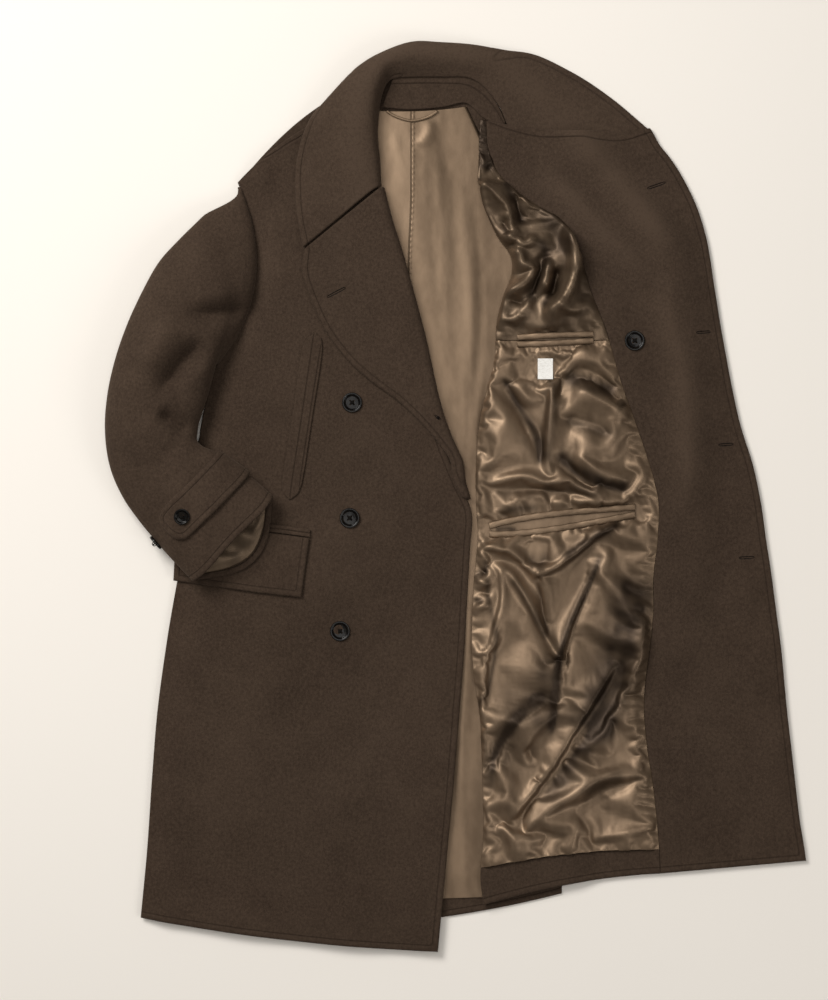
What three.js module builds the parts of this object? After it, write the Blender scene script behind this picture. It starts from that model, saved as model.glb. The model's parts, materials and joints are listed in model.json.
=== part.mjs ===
// Long double-breasted wool coat, laid flat on its back with the wearer's left front opened out.
// Millimetres, +Z up. The coat rests on z = 0, its collar points to +Y and its hem to -Y.
// Places are given on the laid coat, and the whole is shifted at the end so that the origin is the
// middle of its underside.
import * as THREE from 'three';

// Cloth and stacking sizes.
const WOOL = 2.5;
const DOUBLE_WOOL = 4.5;
const SATIN = 1.2;
const SEAM_GAP = 0.3;
const LAY_GAP = 0.6;
const ARMHOLE_GAP = 1.1;
const BACK_SET_IN = 1.3;
const BACK_TOP = WOOL;
const LINING_UNDER = BACK_TOP + SEAM_GAP;
const LINING_TOP = LINING_UNDER + SATIN;
const FRONT_UNDER = LINING_TOP + 1;
const SIDE_FOLD_WIDTH = 34;
const FRONT_LOFT = 3;

// Middle of the laid coat's outline, which becomes the origin.
const MIDDLE = { x: -0.9, y: 1.8 };

// Buttons, outside diameters.
const FRONT_BUTTON = 25;
const CUFF_BUTTON = 20;
const SHANK = 1.8;

// Colours of the cloths and the small pieces.
const WOOL_COLOUR = 0x463b30;
const SATIN_COLOUR = 0x7a644b;
const HORN_COLOUR = 0x0d0c0b;
const LABEL_COLOUR = 0xe9e6de;

const coat = new THREE.Group();

// Right front (on the left of the laid coat). Each row runs from the side (l) to the lapel roll or
// the front edge (r). rise lifts the middle of the row towards the collar.
const FRONT_ROWS = [
  { lx: -274, ly: 394, rx: -114, ry: 488, rise: 18 },
  { lx: -267, ly: 375, rx: -108, ry: 424, rise: 10 },
  { lx: -257, ly: 341, rx: -97, ry: 370, rise: 2 },
  { lx: -252, ly: 295, rx: -77, ry: 309, rise: 0 },
  { lx: -258, ly: 247, rx: -57, ry: 239, rise: 0 },
  { lx: -277, ly: 200, rx: -42, ry: 180, rise: 0 },
  { lx: -300, ly: 167, rx: -32, ry: 124, rise: 0 },
  { lx: -316, ly: 110, rx: -18, ry: 70, rise: 0 },
  { lx: -325, ly: 55, rx: 1, ry: 22, rise: 0 },
  { lx: -333, ly: -4, rx: 18, ry: -18, rise: 0 },
  { lx: -341, ly: -59, rx: 16, ry: -64, rise: 0 },
  { lx: -351, ly: -112, rx: 13, ry: -116, rise: 0 },
  { lx: -362, ly: -176, rx: 9, ry: -184, rise: 0 },
  { lx: -374, ly: -264, rx: 2, ry: -274, rise: 0 },
  { lx: -381, ly: -350, rx: -5, ry: -362, rise: 0 },
  { lx: -387, ly: -438, rx: -14, ry: -458, rise: -3 },
  { lx: -395, ly: -524, rx: -24, ry: -566, rise: -7 },
];

// Back panel, outer side down, from the side of the right front (l) to its other side seam (r).
// Its neck is the raised middle of the first rows.
const BACK_ROWS = [
  { ly: 393, rx: 146, ry: 395, rise: 98 },
  { ly: 295, rx: 146, ry: 300, rise: 62 },
  { ly: 167, rx: 144, ry: 165, rise: 14 },
  { ly: 55, rx: 142, ry: 55, rise: 0 },
  { ly: -59, rx: 140, ry: -60, rise: -2 },
  { ly: -176, rx: 138, ry: -176, rise: -6 },
  { ly: -310, rx: 135, ry: -300, rise: -14 },
  { ly: -438, rx: 132, ry: -415, rise: -22 },
  { ly: -521, rx: 131, ry: -494, rise: -27 },
];

// Back lining, inner side up, as far as it shows and a margin under its neighbours.
const BACK_LINING_ROWS = [
  { lx: -101, ly: 484, rx: 12, ry: 489, rise: -3 },
  { lx: -109, ly: 430, rx: 40, ry: 430, rise: 0 },
  { lx: -92, ly: 345, rx: 80, ry: 345, rise: 0 },
  { lx: -68, ly: 260, rx: 92, ry: 260, rise: 0 },
  { lx: -44, ly: 175, rx: 78, ry: 175, rise: 0 },
  { lx: -24, ly: 90, rx: 62, ry: 90, rise: 0 },
  { lx: -6, ly: 0, rx: 60, ry: 0, rise: 0 },
  { lx: -8, ly: -100, rx: 58, ry: -100, rise: 0 },
  { lx: -12, ly: -200, rx: 56, ry: -200, rise: 0 },
  { lx: -18, ly: -300, rx: 56, ry: -300, rise: 0 },
  { lx: -26, ly: -400, rx: 58, ry: -400, rise: 0 },
  { lx: -36, ly: -501, rx: 62, ry: -498, rise: 0 },
];

// Opened left front. Each row runs from the left border of its lining (b) over the seam of lining
// and facing (s) to the front edge (e). The two sags drop the middle of each stretch.
const OPEN_ROWS = [
  { bx: 29, by: 465, sx: 36, sy: 464, ex: 241, ey: 455, sagLining: 0, sagFacing: 8 },
  { bx: 28, by: 435, sx: 39, sy: 435, ex: 268, ey: 422, sagLining: 0, sagFacing: 5 },
  { bx: 28, by: 402, sx: 55, sy: 400, ex: 285, ey: 394, sagLining: 0, sagFacing: 2 },
  { bx: 34, by: 366, sx: 91, sy: 370, ex: 300, ey: 362, sagLining: 0, sagFacing: 0 },
  { bx: 50, by: 328, sx: 130, sy: 345, ex: 311, ey: 326, sagLining: 0, sagFacing: 0 },
  { bx: 67, by: 302, sx: 151, sy: 312, ex: 316, ey: 300, sagLining: 0, sagFacing: 0 },
  { bx: 68, by: 278, sx: 160, sy: 279, ex: 320, ey: 272, sagLining: 0, sagFacing: 0 },
  { bx: 57, by: 248, sx: 171, sy: 246, ex: 325, ey: 241, sagLining: 0, sagFacing: 0 },
  { bx: 49, by: 212, sx: 185, sy: 211, ex: 330, ey: 210, sagLining: 0, sagFacing: 0 },
  { bx: 47, by: 172, sx: 196, sy: 173, ex: 337, ey: 172, sagLining: 0, sagFacing: 0 },
  { bx: 36, by: 129, sx: 209, sy: 131, ex: 345, ey: 130, sagLining: 0, sagFacing: 0 },
  { bx: 27, by: 85, sx: 225, sy: 87, ex: 355, ey: 87, sagLining: 0, sagFacing: 0 },
  { bx: 24, by: 41, sx: 240, sy: 41, ex: 369, ey: 43, sagLining: 0, sagFacing: 0 },
  { bx: 24, by: -5, sx: 251, sy: -4, ex: 379, ey: -3, sagLining: 0, sagFacing: 0 },
  { bx: 26, by: -50, sx: 250, sy: -52, ex: 386, ey: -52, sagLining: 0, sagFacing: 0 },
  { bx: 22, by: -96, sx: 245, sy: -98, ex: 393, ey: -98, sagLining: 0, sagFacing: 0 },
  { bx: 19, by: -142, sx: 245, sy: -142, ex: 399, ey: -144, sagLining: 0, sagFacing: 0 },
  { bx: 18, by: -186, sx: 240, sy: -187, ex: 405, ey: -189, sagLining: 0, sagFacing: 0 },
  { bx: 22, by: -229, sx: 235, sy: -230, ex: 409, ey: -232, sagLining: 0, sagFacing: 0 },
  { bx: 29, by: -273, sx: 234, sy: -271, ex: 413, ey: -273, sagLining: 0, sagFacing: 0 },
  { bx: 31, by: -318, sx: 238, sy: -314, ex: 418, ey: -316, sagLining: 0, sagFacing: 0 },
  { bx: 32, by: -365, sx: 245, sy: -360, ex: 423, ey: -360, sagLining: -1, sagFacing: 0 },
  { bx: 33, by: -415, sx: 250, sy: -406, ex: 428, ey: -402, sagLining: -4, sagFacing: 0 },
  { bx: 29, by: -472, sx: 253, sy: -446, ex: 433, ey: -432, sagLining: -7, sagFacing: 0 },
  { bx: 33, by: -508, sx: 254, sy: -469, ex: 436, ey: -453, sagLining: -7, sagFacing: 0 },
];
const OPEN_STATIONS = 40;
const OPEN_LENGTH = 1000;
const SLEEVE_LINING_END = 14;
const HEM_START = 38;
const LINING_CELLS = 10;
const FACING_CELLS = 6;

// The opened front comes down from the back's edge to the ground, and from the hidden sleeve to the
// ground, over these distances.
const BACK_SLOPE = { from: 10, to: 50 };
const HIDDEN_SLOPE = { from: 8, to: 52 };
const HIDDEN_STEPS = 24;

// Left sleeve, hidden under the opened front and laid flat on its two layers.
const HIDDEN_SLEEVE_ROWS = [
  { x: 158, y: 282, half: 82, thick: 7 },
  { x: 198, y: 266, half: 70, thick: 9 },
  { x: 218, y: 222, half: 58, thick: 9 },
  { x: 229, y: 160, half: 55, thick: 9 },
  { x: 234, y: 80, half: 54, thick: 9 },
  { x: 236, y: 0, half: 52, thick: 8 },
  { x: 234, y: -80, half: 50, thick: 7 },
  { x: 230, y: -150, half: 48, thick: 5 },
];

// Right lapel, turned out. o is its free edge, r its roll, and turn the inner radius of the roll.
const LAPEL_ROWS = [
  { ox: -191, oy: 310, rx: -92, ry: 390, turn: 4.5 },
  { ox: -193, oy: 281, rx: -80, ry: 345, turn: 4.5 },
  { ox: -183, oy: 249, rx: -66, ry: 301, turn: 4.2 },
  { ox: -164, oy: 208, rx: -53, ry: 254, turn: 4 },
  { ox: -136, oy: 171, rx: -40, ry: 205, turn: 4 },
  { ox: -106, oy: 144, rx: -30, ry: 160, turn: 3.8 },
  { ox: -72, oy: 119, rx: -20, ry: 116, turn: 3.5 },
  { ox: -38, oy: 86, rx: -8, ry: 78, turn: 3 },
  { ox: -9, oy: 49, rx: 8, ry: 38, turn: 2.5 },
];
const LYING_SHARE = 0.7;

// Collar sections from the right gorge round the back of the neck to the left gorge. Each has four
// points of its inner side: neck seam (a), crest (b), outer bend (c) and free edge (d).
const COLLAR_ROWS = [
  { ax: -98, ay: 388, az: 8.5, bx: -102, by: 386, bz: 17,
    cx: -147, cy: 349, cz: 15, dx: -192, dy: 312, dz: 12 },
  { ax: -99, ay: 418, az: 8.5, bx: -106, by: 417, bz: 19,
    cx: -153, cy: 390, cz: 18, dx: -200, dy: 358, dz: 12.5 },
  { ax: -102, ay: 448, az: 8.5, bx: -110, by: 450, bz: 22,
    cx: -157, cy: 433, cz: 20, dx: -201, dy: 408, dz: 13.5 },
  { ax: -101, ay: 474, az: 8.5, bx: -111, by: 478, bz: 25,
    cx: -155, cy: 472, cz: 20, dx: -192, dy: 450, dz: 13 },
  { ax: -98, ay: 496, az: 8.5, bx: -108, by: 504, bz: 26,
    cx: -145, cy: 505, cz: 18, dx: -172, dy: 482, dz: 7 },
  { ax: -92, ay: 514, az: 8.5, bx: -100, by: 526, bz: 26,
    cx: -127, cy: 529, cz: 15, dx: -128, dy: 506, dz: 5.5 },
  { ax: -81, ay: 524, az: 8.5, bx: -86, by: 544, bz: 25,
    cx: -99, cy: 548, cz: 13, dx: -90, dy: 524, dz: 5 },
  { ax: -56, ay: 526, az: 8.5, bx: -57, by: 552, bz: 23,
    cx: -58, cy: 564, cz: 12, dx: -57, dy: 538, dz: 5 },
  { ax: -21, ay: 526, az: 8.5, bx: -21, by: 551, bz: 21,
    cx: -21, cy: 564, cz: 11, dx: -21, dy: 538, dz: 5 },
  { ax: 12, ay: 525, az: 8.5, bx: 20, by: 546, bz: 17,
    cx: 28, cy: 560, cz: 9, dx: 36, dy: 543, dz: 5 },
  { ax: 33, ay: 513, az: 8, bx: 54, by: 533, bz: 11,
    cx: 76, cy: 549, cz: 5, dx: 86, dy: 555, dz: 1 },
  { ax: 52, ay: 489, az: 7, bx: 86, by: 508, bz: 7,
    cx: 116, cy: 524, cz: 2, dx: 141, dy: 533, dz: 0 },
  { ax: 62, ay: 467, az: 6, bx: 110, by: 480, bz: 5,
    cx: 152, cy: 492, cz: 1, dx: 192, dy: 500, dz: 0 },
  { ax: 69, ay: 461.5, az: 5.6, bx: 128, by: 456, bz: 4,
    cx: 188, cy: 454, cz: 0.5, dx: 242, dy: 458, dz: 0 },
];

// Collar stand, from its seam on the body (n) to its seam on the fall (f).
const STAND_ROWS = [
  { nx: -94, ny: 488, fx: -88, fy: 504, fz: 8 },
  { nx: -76, ny: 486, fx: -76, fy: 522, fz: 8 },
  { nx: -54, ny: 485, fx: -54, fy: 524, fz: 8 },
  { nx: -18, ny: 488, fx: -20, fy: 524, fz: 8 },
  { nx: 11, ny: 493, fx: 10, fy: 523, fz: 8 },
  { nx: 31, ny: 476, fx: 31, fy: 511, fz: 7.6 },
  { nx: 47, ny: 466, fx: 50, fy: 487, fz: 6.6 },
  { nx: 58, ny: 463, fx: 60, fy: 468, fz: 5.8 },
];

// Right sleeve rings from the armhole to the cuff. o is the outer edge, i the inner edge, and the
// bows push the middle of the upper and the under layer on along the sleeve.
const SLEEVE_ROWS = [
  { ox: -278, oy: 391, ix: -302, iy: 170, bowTop: -34, bowUnder: -34, high: 10 },
  { ox: -316, oy: 351, ix: -303, iy: 163, bowTop: -26, bowUnder: -26, high: 34 },
  { ox: -344, oy: 323, ix: -304, iy: 155, bowTop: -19, bowUnder: -19, high: 46 },
  { ox: -370, oy: 294, ix: -306, iy: 145, bowTop: -12, bowUnder: -12, high: 52 },
  { ox: -391, oy: 257, ix: -309, iy: 132, bowTop: -5, bowUnder: -5, high: 55 },
  { ox: -410, oy: 216, ix: -313, iy: 118, bowTop: 0, bowUnder: 0, high: 56 },
  { ox: -425, oy: 173, ix: -317, iy: 105, bowTop: 4, bowUnder: 4, high: 56 },
  { ox: -435, oy: 128, ix: -321, iy: 93, bowTop: 6, bowUnder: 6, high: 55 },
  { ox: -438, oy: 83, ix: -323, iy: 82, bowTop: 6, bowUnder: 6, high: 53 },
  { ox: -432, oy: 39, ix: -323, iy: 72, bowTop: 6, bowUnder: 6, high: 50 },
  { ox: -416, oy: 1, ix: -316, iy: 64, bowTop: 5, bowUnder: 6, high: 47 },
  { ox: -393, oy: -32, ix: -299, iy: 56, bowTop: 3, bowUnder: 8, high: 44 },
  { ox: -371, oy: -58, ix: -276, iy: 41, bowTop: 2, bowUnder: 14, high: 41 },
  { ox: -349, oy: -82, ix: -251, iy: 22, bowTop: 2, bowUnder: 26, high: 38 },
  { ox: -328, oy: -104, ix: -228, iy: 2, bowTop: 2, bowUnder: 38, high: 35 },
];
// The sleeve climbs from the ground on to the body before its side, and on to the pocket flap.
const BODY_SLOPE = { from: -44, to: -10 };
const FLAP_AREA = { left: -345, right: -170, low: -120, high: -8 };
const FLAP_EASE = 30;
const FLAP_HEIGHT = 4.9;
const SLEEVE_GAP = 1;
const SLEEVE_RING_CELLS = 24;
const SLEEVE_STATIONS = 24;
const SLEEVE_ROUND = 1.3;
const ARMHOLE_EASE = 0.07;
const ON_BODY = { from: 0.55, to: 0.68 };
const CUFF_LINING = { from: 0.84, to: 0.985, along: 3 };
const STRAP = { from: 0.79, to: 0.905, wrapStart: 0.5, wrapEnd: 0.13, round: 0.035, taper: 0.12, thick: 3.5 };

// Hip pocket flap and jet: corners along the pocket mouth (m) and the free edge (f).
const FLAP_ROWS = [
  { mx: -350, my: -30, fx: -354, fy: -103 },
  { mx: -300, my: -35, fx: -303, fy: -110 },
  { mx: -245, my: -42, fx: -249, fy: -118 },
  { mx: -184, my: -50, fx: -194, fy: -124 },
];
const JET_ROWS = [
  { mx: -345, my: -18, fx: -346, fy: -28 },
  { mx: -264, my: -28, fx: -265, fy: -38 },
  { mx: -183, my: -39, fx: -183, fy: -49 },
];

// Hand-warmer welt with a stitched triangle at each end.
const WELT_ROWS = [
  { lx: -179, ly: 206, rx: -176, ry: 206 },
  { lx: -193, ly: 186, rx: -168, ry: 187 },
  { lx: -205, ly: 104, rx: -180, ry: 104 },
  { lx: -218, ly: 18, rx: -194, ry: 17 },
  { lx: -210, ly: -2, rx: -207, ry: -2 },
];

// Soft folds: a ridge from a to b, high in its middle and wide at each side. Below zero is a trough.
const FRONT_FOLDS = [
  { ax: -84, ay: -60, bx: -200, by: -250, high: -3, wide: 45 },
  { ax: -30, ay: -120, bx: -90, by: -480, high: 3, wide: 60 },
  { ax: -250, ay: -180, bx: -290, by: -440, high: 3, wide: 60 },
  { ax: -150, ay: -10, bx: -120, by: -130, high: 3, wide: 55 },
  { ax: -225, ay: 370, bx: -240, by: 250, high: 3, wide: 30 },
];
const SLEEVE_FOLDS = [
  { ax: -318, ay: 196, bx: -366, by: 134, high: -13, wide: 17 },
  { ax: -276, ay: 232, bx: -330, by: 226, high: -7, wide: 16 },
  { ax: -352, ay: 216, bx: -392, by: 150, high: 5, wide: 22 },
  { ax: -336, ay: 84, bx: -372, by: 110, high: -7, wide: 16 },
];
const FACING_FOLDS = [
  { ax: 66, ay: 440, bx: 190, by: 410, high: 2, wide: 26 },
  { ax: 120, ay: 455, bx: 250, by: 290, high: 5, wide: 26 },
  { ax: 96, ay: 420, bx: 236, by: 270, high: 4, wide: 22 },
  { ax: 262, ay: 300, bx: 286, by: 60, high: 4, wide: 20 },
  { ax: 286, ay: 40, bx: 262, by: -44, high: 3, wide: 20 },
];
const BACK_LINING_FOLDS = [
  { ax: 6, ay: 440, bx: 18, by: 120, high: 2.5, wide: 12 },
  { ax: -58, ay: 430, bx: -40, by: 300, high: 2, wide: 14 },
  { ax: 34, ay: 300, bx: 20, by: 60, high: 2.5, wide: 14 },
  { ax: 16, ay: -60, bx: 6, by: -470, high: 2, wide: 9 },
];
const LINING_FOLDS = [
  { ax: 86, ay: 150, bx: 120, by: 40, high: -4, wide: 22 },
  { ax: 60, ay: 130, bx: 76, by: 20, high: 7, wide: 22 },
  { ax: 150, ay: 120, bx: 190, by: 20, high: 8, wide: 26 },
  { ax: 110, ay: 110, bx: 200, by: 70, high: 5, wide: 22 },
  { ax: 48, ay: -60, bx: 104, by: -98, high: 6, wide: 20 },
  { ax: 104, ay: -98, bx: 196, by: -44, high: 6, wide: 22 },
  { ax: 70, ay: -100, bx: 128, by: -190, high: 7, wide: 24 },
  { ax: 180, ay: -230, bx: 92, by: -380, high: 8, wide: 26 },
  { ax: 92, ay: -380, bx: 44, by: -420, high: 6, wide: 20 },
  { ax: 222, ay: -330, bx: 96, by: -430, high: 6, wide: 22 },
  { ax: 226, ay: -60, bx: 210, by: -250, high: 6, wide: 22 },
  { ax: 36, ay: -110, bx: 40, by: -300, high: 5, wide: 16 },
  { ax: 150, ay: -400, bx: 120, by: -446, high: 5, wide: 18 },
];
const ARMHOLE_FOLDS = [
  { ax: 40, ay: 420, bx: 96, by: 320, high: 10, wide: 20 },
  { ax: 70, ay: 380, bx: 140, by: 300, high: 12, wide: 20 },
  { ax: 84, ay: 290, bx: 150, by: 250, high: 10, wide: 18 },
  { ax: 70, ay: 256, bx: 110, by: 222, high: 8, wide: 16 },
  { ax: 158, ay: 300, bx: 178, by: 236, high: 7, wide: 16 },
];

// Inner pockets: ends of the mouth, the height of a lip and how far the mouth stands open.
const INNER_POCKETS = [
  { name: 'upper', ax: 75, ay: 196, bx: 170, by: 200, lip: 7, open: 1 },
  { name: 'lower', ax: 40, ay: -40, bx: 222, by: -16, lip: 9, open: 2 },
];
const LABEL = { x: 110, y: 161, wide: 19, long: 26, thick: 0.5 };

// Button places on the laid coat.
const FRONT_BUTTONS = [
  { x: -131, y: 119 },
  { x: -134, y: -25 },
  { x: -146, y: -166 },
];
const JIGGER_BUTTON = { x: 221, y: 196 };

// Plain maths helpers.
const lerp = THREE.MathUtils.lerp;
const clamp = THREE.MathUtils.clamp;

function ramp(value, from, to) {
  const t = clamp((value - from) / (to - from), 0, 1);
  return t * t * (3 - 2 * t);
}

function smoothMax(a, b) {
  return (a ** 4 + b ** 4) ** 0.25;
}

function cubic(p0, p1, p2, p3, t) {
  const slope1 = (p2 - p0) / 2;
  const slope2 = (p3 - p1) / 2;
  const t2 = t * t;
  const t3 = t2 * t;
  return (2 * t3 - 3 * t2 + 1) * p1 + (t3 - 2 * t2 + t) * slope1
    + (3 * t2 - 2 * t3) * p2 + (t3 - t2) * slope2;
}

// Smooth values of every column at v = 0 (first row) to v = 1 (last row).
function atRow(rows, v) {
  const last = rows.length - 1;
  const place = clamp(v, 0, 1) * last;
  const i = Math.min(Math.floor(place), last - 1);
  const t = place - i;
  const values = {};
  for (const key of Object.keys(rows[0])) {
    const p1 = rows[i][key];
    const p2 = rows[i + 1][key];
    const p0 = i > 0 ? rows[i - 1][key] : 2 * p1 - p2;
    const p3 = i + 2 <= last ? rows[i + 2][key] : 2 * p2 - p1;
    values[key] = cubic(p0, p1, p2, p3, t);
  }
  return values;
}

// Share 0..1 down the rows at which their column reaches a given value, where it falls steadily.
function shareAt(rows, key, value) {
  const last = rows.length - 1;
  if (value >= rows[0][key]) return 0;
  for (let i = 0; i < last; i += 1) {
    const here = rows[i][key];
    const next = rows[i + 1][key];
    if (value >= next) return (i + (here - value) / (here - next)) / last;
  }
  return 1;
}

function sideX(y) {
  return atRow(FRONT_ROWS, shareAt(FRONT_ROWS, 'ly', y)).lx;
}

function backRightX(y) {
  return atRow(BACK_ROWS, shareAt(BACK_ROWS, 'ry', y)).rx;
}

// Height of a table of folds at one place. A fold fades out at its ends and at its sides.
function foldHeight(folds, x, y) {
  let height = 0;
  for (const fold of folds) {
    const dx = fold.bx - fold.ax;
    const dy = fold.by - fold.ay;
    const length = Math.hypot(dx, dy);
    const along = ((x - fold.ax) * dx + (y - fold.ay) * dy) / length;
    const aside = ((x - fold.ax) * dy - (y - fold.ay) * dx) / length;
    const off = Math.abs(along - length / 2) - length / 2;
    const fade = 1 - ramp(off, -0.35 * length, fold.wide);
    const across = 1 - ramp(Math.abs(aside), 0, fold.wide);
    height += fold.high * fade * across;
  }
  return height;
}

// Underside of the right front: on the back at the side fold, a little above the lining elsewhere.
function frontUnder(x, y) {
  const inside = ramp(x - sideX(y), 0, SIDE_FOLD_WIDTH);
  const loft = FRONT_LOFT + foldHeight(FRONT_FOLDS, x, y);
  return lerp(LINING_UNDER, FRONT_UNDER + loft, inside);
}

function frontTop(x, y) {
  return frontUnder(x, y) + WOOL;
}

// What the opened left front lies on: the back, the hidden sleeve, then the ground.
function hiddenSleeveCover(x, y) {
  let cover = 0;
  for (let i = 0; i <= HIDDEN_STEPS; i += 1) {
    const row = atRow(HIDDEN_SLEEVE_ROWS, i / HIDDEN_STEPS);
    const away = Math.hypot(x - row.x, y - row.y) - row.half;
    const slope = 1 - ramp(away, HIDDEN_SLOPE.from, HIDDEN_SLOPE.to);
    cover = Math.max(cover, (row.thick + LAY_GAP) * slope);
  }
  return cover;
}

function openUnder(x, y) {
  const past = x - backRightX(y);
  const onBack = FRONT_UNDER * (1 - ramp(past, BACK_SLOPE.from, BACK_SLOPE.to));
  return smoothMax(onBack, hiddenSleeveCover(x, y));
}

// What the right sleeve lies on: the ground, then the right front with its pocket flap.
function sleeveRest(x, y, onBody) {
  const overBody = ramp(x - sideX(y), BODY_SLOPE.from, BODY_SLOPE.to);
  const besideFlap = ramp(x, FLAP_AREA.left - FLAP_EASE, FLAP_AREA.left)
    * (1 - ramp(x, FLAP_AREA.right, FLAP_AREA.right + FLAP_EASE));
  const overFlap = besideFlap * ramp(y, FLAP_AREA.low - FLAP_EASE, FLAP_AREA.low)
    * (1 - ramp(y, FLAP_AREA.high, FLAP_AREA.high + FLAP_EASE));
  const body = frontTop(Math.max(x, sideX(y) + 2), y) + SLEEVE_GAP + overFlap * FLAP_HEIGHT;
  return body * overBody * onBody;
}

// Normal of a surface given as point(u, v), by small steps. u runs across and v along.
function normalAt(point, u, v, lowU, highU, lowV, highV) {
  const step = 1e-3;
  const uBack = Math.max(u - step, lowU);
  const uFore = Math.min(u + step, highU);
  const vBack = Math.max(v - step, lowV);
  const vFore = Math.min(v + step, highV);
  const across = point(uFore, v).sub(point(uBack, v));
  const along = point(u, vFore).sub(point(u, vBack));
  return along.cross(across).normalize();
}

function finish(colour, roughness, metalness = 0) {
  return new THREE.MeshStandardMaterial({ color: colour, roughness, metalness });
}

function wool() {
  return finish(WOOL_COLOUR, 0.95);
}

function satin() {
  return finish(SATIN_COLOUR, 0.35);
}

function addMesh(name, positions, indices, material) {
  const geometry = new THREE.BufferGeometry();
  geometry.setAttribute('position', new THREE.Float32BufferAttribute(positions, 3));
  geometry.setIndex(indices);
  geometry.computeVertexNormals();
  const mesh = new THREE.Mesh(geometry, material);
  mesh.name = name;
  coat.add(mesh);
}

// Closed wall between an upper and an under grid of points. grid[j][i] has { top, under }.
function wallFromGrid(name, grid, ring, material) {
  const along = grid.length - 1;
  const across = ring ? grid[0].length : grid[0].length - 1;
  const width = grid[0].length;
  const count = (along + 1) * width;
  const positions = [];
  for (const side of ['top', 'under']) {
    for (const row of grid) {
      for (const cell of row) positions.push(cell[side].x, cell[side].y, Math.max(cell[side].z, 0));
    }
  }
  const top = (i, j) => j * width + (i % width);
  const under = (i, j) => count + top(i, j);
  const indices = [];
  for (let j = 0; j < along; j += 1) {
    for (let i = 0; i < across; i += 1) {
      indices.push(top(i, j), top(i, j + 1), top(i + 1, j + 1));
      indices.push(top(i, j), top(i + 1, j + 1), top(i + 1, j));
      indices.push(under(i, j), under(i + 1, j + 1), under(i, j + 1));
      indices.push(under(i, j), under(i + 1, j), under(i + 1, j + 1));
    }
  }
  for (let i = 0; i < across; i += 1) {
    indices.push(top(i, 0), top(i + 1, 0), under(i + 1, 0));
    indices.push(top(i, 0), under(i + 1, 0), under(i, 0));
    indices.push(top(i, along), under(i + 1, along), top(i + 1, along));
    indices.push(top(i, along), under(i, along), under(i + 1, along));
  }
  for (let j = 0; j < along && !ring; j += 1) {
    indices.push(top(0, j), under(0, j), top(0, j + 1));
    indices.push(under(0, j), under(0, j + 1), top(0, j + 1));
    indices.push(top(across, j), top(across, j + 1), under(across, j));
    indices.push(under(across, j), top(across, j + 1), under(across, j + 1));
  }
  addMesh(name, positions, indices, material);
}

// Cloth wall whose underside is point(u, v) and whose upper side lies thick away from it.
function clothWall(name, point, thick, across, along, material) {
  const grid = [];
  for (let j = 0; j <= along; j += 1) {
    const row = [];
    for (let i = 0; i <= across; i += 1) {
      const u = i / across;
      const v = j / along;
      const under = point(u, v);
      const normal = normalAt(point, u, v, 0, 1, 0, 1);
      row.push({ under, top: under.clone().addScaledVector(normal, thick) });
    }
    grid.push(row);
  }
  wallFromGrid(name, grid, false, material);
}

// Place on a panel whose rows have left (l) and right (r) ends and a rise in the middle.
function panelPlace(rows, u, v) {
  const row = atRow(rows, v);
  const rise = (row.rise ?? 0) * 4 * u * (1 - u);
  return { x: lerp(row.lx, row.rx, u), y: lerp(row.ly, row.ry, u) + rise };
}

function addBackPanel() {
  const point = (u, v) => {
    const row = atRow(BACK_ROWS, v);
    const rise = row.rise * 4 * u * (1 - u);
    const left = sideX(row.ly) + BACK_SET_IN;
    return new THREE.Vector3(lerp(left, row.rx, u), lerp(row.ly, row.ry, u) + rise, 0);
  };
  clothWall('back_panel', point, WOOL, 8, 22, wool());
}

function addBackLining() {
  const point = (u, v) => {
    const place = panelPlace(BACK_LINING_ROWS, u, v);
    const border = ramp(u, 0.12, 0.3) * ramp(1 - u, 0.4, 0.62) * ramp(Math.min(v, 1 - v), 0, 0.06);
    const relief = Math.max(foldHeight(BACK_LINING_FOLDS, place.x, place.y), 0) * border;
    return new THREE.Vector3(place.x, place.y, LINING_UNDER + relief);
  };
  clothWall('back_lining', point, SATIN, 7, 26, satin());
}

function addRightFront() {
  const point = (u, v) => {
    const place = panelPlace(FRONT_ROWS, u, v);
    return new THREE.Vector3(place.x, place.y, frontUnder(place.x, place.y));
  };
  clothWall('front_right', point, WOOL, 17, 29, wool());
}

// Turned-out lapel: it lies on the front, swells towards its roll and bends down round it.
function addRightLapel() {
  const point = (u, v) => {
    const row = atRow(LAPEL_ROWS, v);
    const width = Math.hypot(row.rx - row.ox, row.ry - row.oy);
    const dirX = (row.rx - row.ox) / width;
    const dirY = (row.ry - row.oy) / width;
    const lying = width - row.turn - DOUBLE_WOOL;
    const centreZ = LINING_TOP + LAY_GAP + 0.87 * (row.turn + DOUBLE_WOOL);
    if (u <= LYING_SHARE) {
      const share = u / LYING_SHARE;
      const x = row.ox + dirX * lying * share;
      const y = row.oy + dirY * lying * share;
      const low = frontTop(x, y) + LAY_GAP;
      const z = lerp(low, Math.max(centreZ + row.turn, low), ramp(share, 0, 1));
      return new THREE.Vector3(x, y, z);
    }
    const angle = lerp(Math.PI / 2, -Math.PI / 3, (u - LYING_SHARE) / (1 - LYING_SHARE));
    const reach = lying + row.turn * Math.cos(angle);
    const z = centreZ + row.turn * Math.sin(angle);
    return new THREE.Vector3(row.ox + dirX * reach, row.oy + dirY * reach, z);
  };
  clothWall('lapel_right', point, DOUBLE_WOOL, 12, 18, wool());
}

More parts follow.
